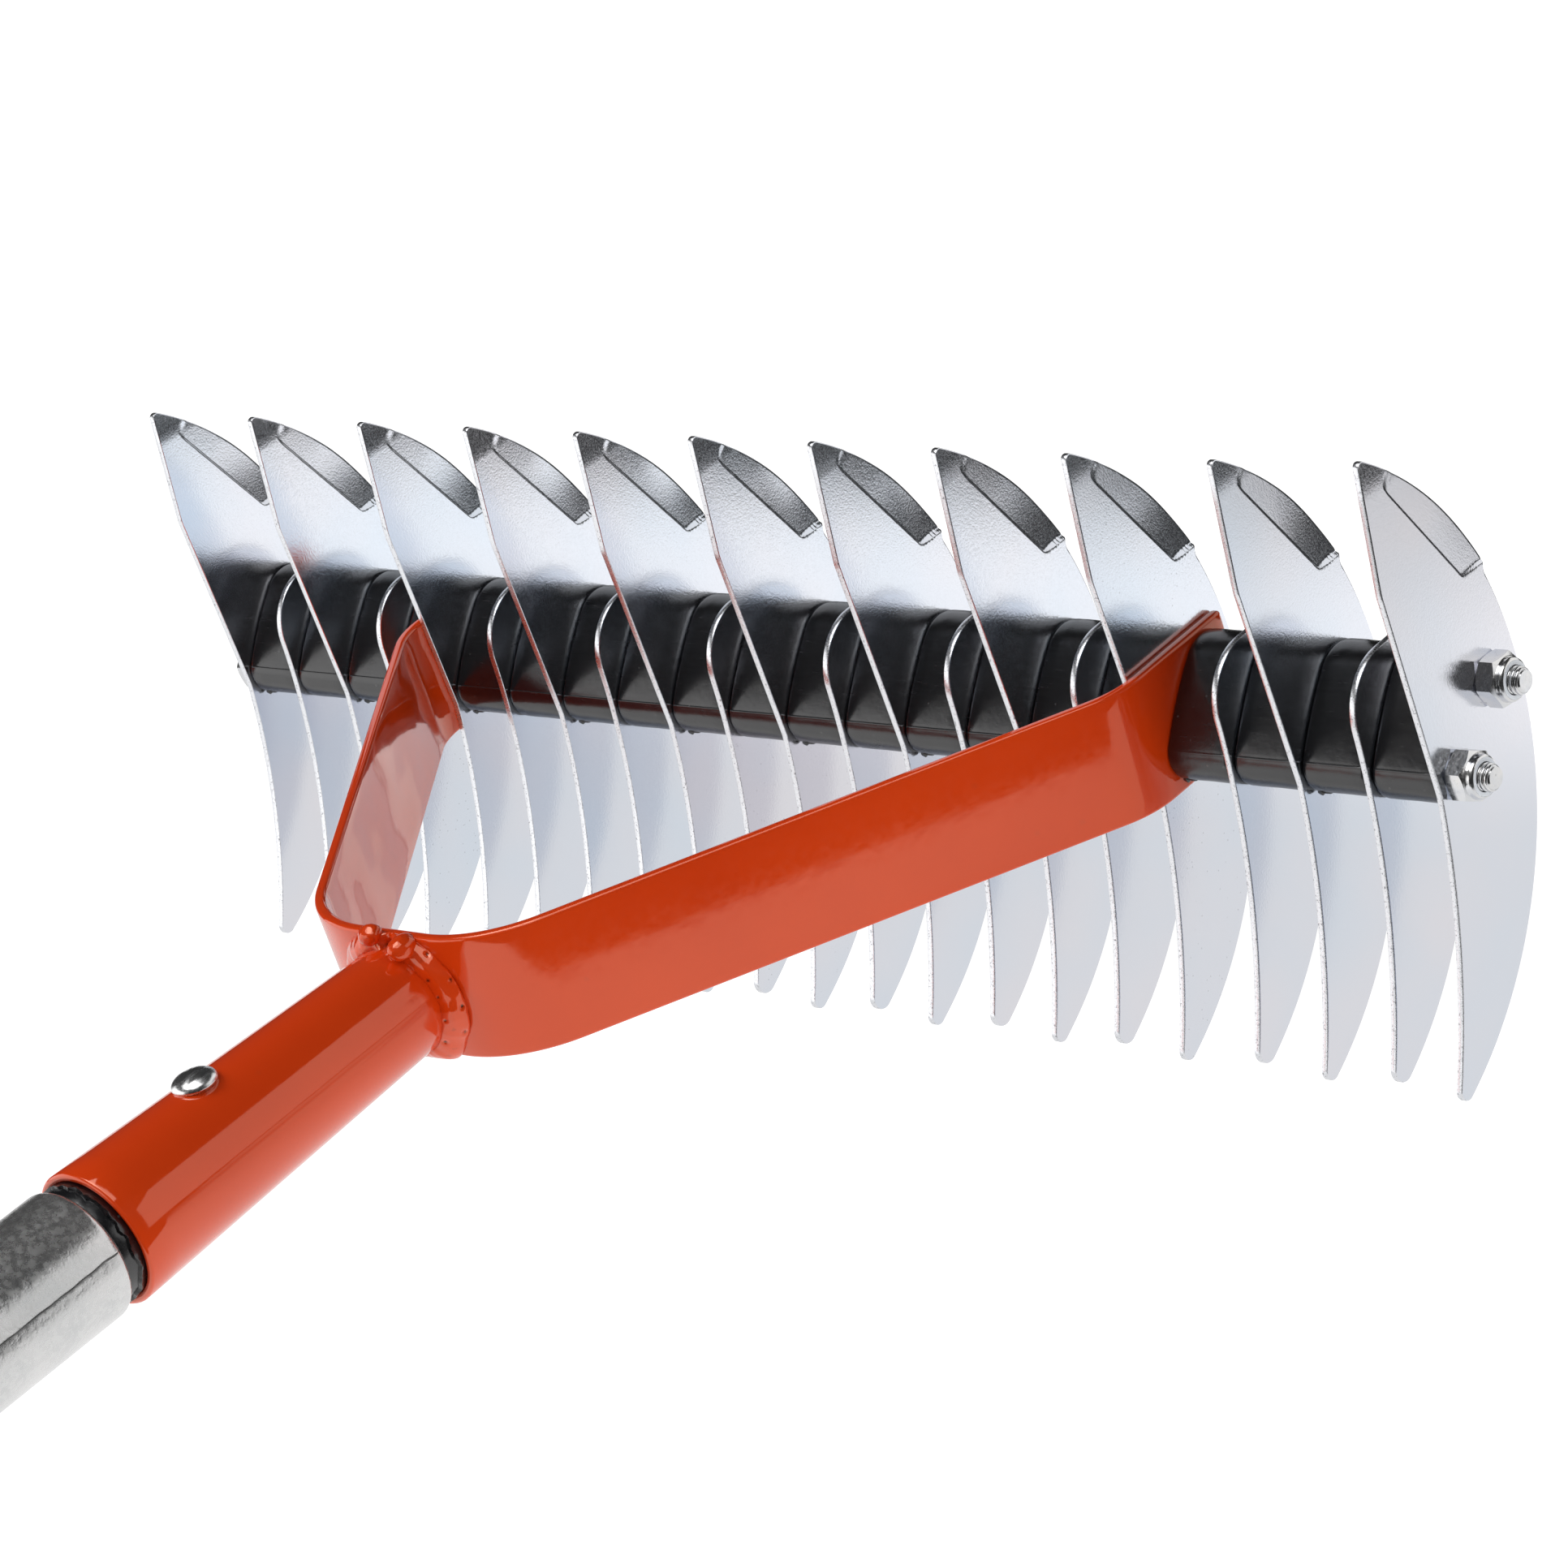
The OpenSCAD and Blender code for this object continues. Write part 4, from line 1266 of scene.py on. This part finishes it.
def cap_shape():
    plug_end = local(high("end_cap")).y
    plug_r = HANDLE_R - 1.3
    face = HANDLE_END - FLANGE_T
    body = [
        (plug_r - 1.5, plug_end),
        (plug_r - 0.5, plug_end - 0.6),
        (plug_r, plug_end - 2.0),
        (plug_r, HANDLE_END),
        (HANDLE_R - 0.3, HANDLE_END),
        (HANDLE_R, HANDLE_END - 0.3),
        (HANDLE_R, face + 1.4),
        (HANDLE_R - 0.4, face + 0.5),
        (HANDLE_R - 1.4, face),
    ]
    shape = turned(body, 96, "capped")

    # Tab outline: straight sides into a half round, with as many points round the hole
    side = TAB_W / 2
    root_y = face + 1.0
    outer = [(root_y - (root_y - HANG_Y) * i / 8, -side) for i in range(8)]
    bow = [math.pi * i / 48 for i in range(49)]
    outer += [(HANG_Y - side * math.sin(a), -side * math.cos(a)) for a in bow]
    outer += [(HANG_Y + (root_y - HANG_Y) * i / 8, side) for i in range(1, 9)]
    outer += [(root_y, side - TAB_W * i / 31) for i in range(1, 31)]
    outer = [Vector(p) for p in outer]
    hub = Vector((HANG_Y, 0.0))
    to_hub = [(hub - p).normalized() for p in outer]
    hole = [hub - w * HANG_R for w in to_hub]
    out = outward(list(reversed(outer)))
    out.reverse()
    steps = [(1.0, 0.0), (0.62, 0.08), (0.29, 0.29), (0.08, 0.62), (0.0, 1.0)]
    half = TAB_T / 2

    def tab_ring(points, ways, inset, x):
        return shape.ring([at(x, *(p - w * inset)) for p, w in zip(points, ways)])

    def tab_wall(points, ways, ease):
        """Rings from one flat of the tab to the other, eased at both."""
        near = [(ease * inset, half - ease * drop) for inset, drop in steps]
        far = [(inset, -x) for inset, x in reversed(near)]
        rings = [tab_ring(points, ways, inset, x) for inset, x in near + far]
        shape.sheath(rings)
        return rings

    walls = tab_wall(outer, out, 1.1)
    bore = tab_wall(hole, to_hub, 0.8)
    shape.skin(walls[0], bore[0])
    shape.skin(walls[-1], bore[-1])
    return shape


show("hanging_cap", cap_shape().mesh("hanging_cap", 45.0), BLACK, "black_plastic", "end_cap")


# Stage: a pale floor, boards that only show in reflections, and soft light
def board(name, corners, finish):
    """A flat panel of the stage."""
    mesh = bpy.data.meshes.new(name)
    mesh.from_pydata(corners, [], [tuple(range(len(corners)))])
    mesh.materials.append(finish)
    made = bpy.data.objects.new(name, mesh)
    scene.collection.objects.link(made)
    return made


def level_board(name, corners, z, finish):
    return board(name, [(x, y, z) for x, y in corners], finish)


def only_mirrored(panel):
    """Leaves a panel visible to glossy surfaces alone."""
    panel.visible_camera = False
    panel.visible_diffuse = False
    panel.visible_shadow = False
    panel.visible_transmission = False


def glow(name, strength=1.0):
    """A material that shines white."""
    made = bpy.data.materials.new(name)
    made.use_nodes = True
    net = Net(made.node_tree)
    net.nodes.remove(net.nodes["Principled BSDF"])
    light = net.add("ShaderNodeEmission", {"Color": WHITE, "Strength": strength})
    net.feed(net.nodes["Material Output"].inputs["Surface"], light.outputs[0])
    return made


FLOOR_HALF, FLOOR_Z, BENCH_Z, CEILING_Z = 6.0, -0.0004, -0.0002, 2.4
floor_corners = [(x * FLOOR_HALF, y * FLOOR_HALF) for x, y in ((-1, -1), (1, -1), (1, 1), (-1, 1))]
pale_floor = Finish(
    "pale_floor",
    Roughness=0.9,
    Base_Color=(0.26, 0.26, 0.26, 1.0),
    Emission_Color=WHITE,
    Emission_Strength=0.94,
)
floor = level_board("floor", floor_corners, FLOOR_Z, pale_floor.made)
floor.visible_glossy = False

# The bench's outline in millimetres about the row; its far edge shapes the reflections in the blades
bench_corners = [
    (-900, -1600), (-40, -1600), (-40, -470), (194, -156), (250, -79), (809, 340), (737, 436),
    (500, 262), (336, 262), (326, 200), (188, 200), (176, 236), (118, 240), (104, 230),
    (60, 230), (40, 236), (-100, 330), (-900, 420),
]


def bench_glow():
    """White bench, dimmer in the rake's own shade under the head and brightest beyond it."""
    made = glow("bench")
    net = Net(made.node_tree)
    axes = net.axes("Object")
    level = 0.86
    for axis, start, end, change in (
        ("Y", ROW.y - 0.06, ROW.y - 0.15, 0.20),
        ("Y", ROW.y + 0.06, ROW.y + 0.15, 0.32),
        ("X", ROW.x + 0.25, ROW.x + 0.36, -0.42),
    ):
        level = net.calc("ADD", net.span(axes[axis], start, end, 0.0, change, soft=True), level)
    net.feed(net.nodes["Emission"].inputs["Strength"], level)
    return made


bench = level_board("bench", [at(x, y, 0).xy for x, y in bench_corners], BENCH_Z, bench_glow())
CEILING = ((-0.9, -1.7), (-0.9, 0.10), (1.5, 0.10), (1.5, -1.7))
ceiling_corners = [(ROW.x + x, ROW.y + y) for x, y in CEILING]
ceiling = level_board("ceiling", ceiling_corners, CEILING_Z, glow("ceiling", 2.2))
only_mirrored(bench)
only_mirrored(ceiling)


def reflector(name, way, distance, width, top, strength):
    """An upright pale board that stands on the floor and shows only in glossy surfaces."""
    middle_at = ROW + way * distance
    across = Vector((-way.y, way.x, 0.0)).normalized() * width / 2
    foot = Vector((middle_at.x, middle_at.y, 0.0))
    up = Vector((0.0, 0.0, top))
    corners = [foot - across, foot + across, foot + across + up, foot - across + up]
    only_mirrored(board(name, corners, glow(name, strength)))


reflector("wall", Vector((0.60, 0.80, 0.0)), 1.0, 2.2, 0.86, 0.95)
reflector("side", Vector((-0.69, -0.72, 0.0)), 1.2, 1.8, 0.80, 1.4)


HEAD_AT = at(0, -40, 0)


def soft_light(name, place, width, power, mirrored=False):
    """A square lamp that aims at the rake's head."""
    data = bpy.data.lights.new(name, "AREA")
    data.shape = "SQUARE"
    data.size = width
    data.energy = power
    lamp = bpy.data.objects.new(name, data)
    scene.collection.objects.link(lamp)
    lamp.location = place
    lamp.rotation_euler = (HEAD_AT - Vector(place)).to_track_quat("-Z", "Y").to_euler()
    lamp.visible_glossy = mirrored


soft_light("overhead", (ROW.x - 0.4, ROW.y - 0.5, 2.2), 1.2, 12.0, True)
soft_light("left_fill", (ROW.x - 1.35, ROW.y - 0.8, 1.5), 1.4, 38.0)
soft_light("front_fill", (ROW.x + 0.9, ROW.y - 1.9, 1.0), 1.6, 5.0)
soft_light("right_fill", (ROW.x + 1.8, ROW.y - 0.35, 0.95), 1.6, 15.5)


def make_world():
    """A white backdrop for the camera; for the rest a dark room that is paler up behind the camera."""
    world = bpy.data.worlds.new("studio")
    scene.world = world
    world.use_nodes = True
    net = Net(world.node_tree)
    axes = net.axes("Generated")
    behind = net.span(axes["Y"], 0.1, -0.8, soft=True)
    above = net.span(axes["Z"], 0.25, 0.6, soft=True)
    room = net.nodes["Background"]
    net.feed(room.inputs["Color"], WHITE)
    level = net.calc("MULTIPLY_ADD", net.calc("MULTIPLY", behind, above), 0.08, 0.03)
    net.feed(room.inputs["Strength"], level)
    paper = net.add("ShaderNodeBackground", {"Color": WHITE})
    seen = net.nodes.new("ShaderNodeLightPath").outputs["Is Camera Ray"]
    mix = net.add("ShaderNodeMixShader", {0: seen, 1: room.outputs[0], 2: paper.outputs[0]})
    net.feed(net.nodes["World Output"].inputs["Surface"], mix.outputs[0])


make_world()
scene.view_settings.view_transform = "Standard"

# Camera at the photograph's place, with the way it looks and its upward direction
EYE = at(832.3, -743.8, 477.0)
LOOK = Vector((-0.68850, 0.59905, -0.40879)).normalized()
UPWARD = Vector((-0.07459, 0.50218, 0.86154))
FOCAL_PX, FRAME_PX, SENSOR = 6849.2, 1932.0, 36.0


def make_camera():
    data = bpy.data.cameras.new("camera")
    data.sensor_width = SENSOR
    data.lens = SENSOR * FOCAL_PX / FRAME_PX
    data.clip_end = 50.0
    camera = bpy.data.objects.new("camera", data)
    scene.collection.objects.link(camera)
    right = LOOK.cross(UPWARD).normalized()
    up = right.cross(LOOK)
    turn = Matrix((right, up, -LOOK)).transposed()
    camera.matrix_world = Matrix.Translation(EYE) @ turn.to_4x4()
    scene.camera = camera


make_camera()
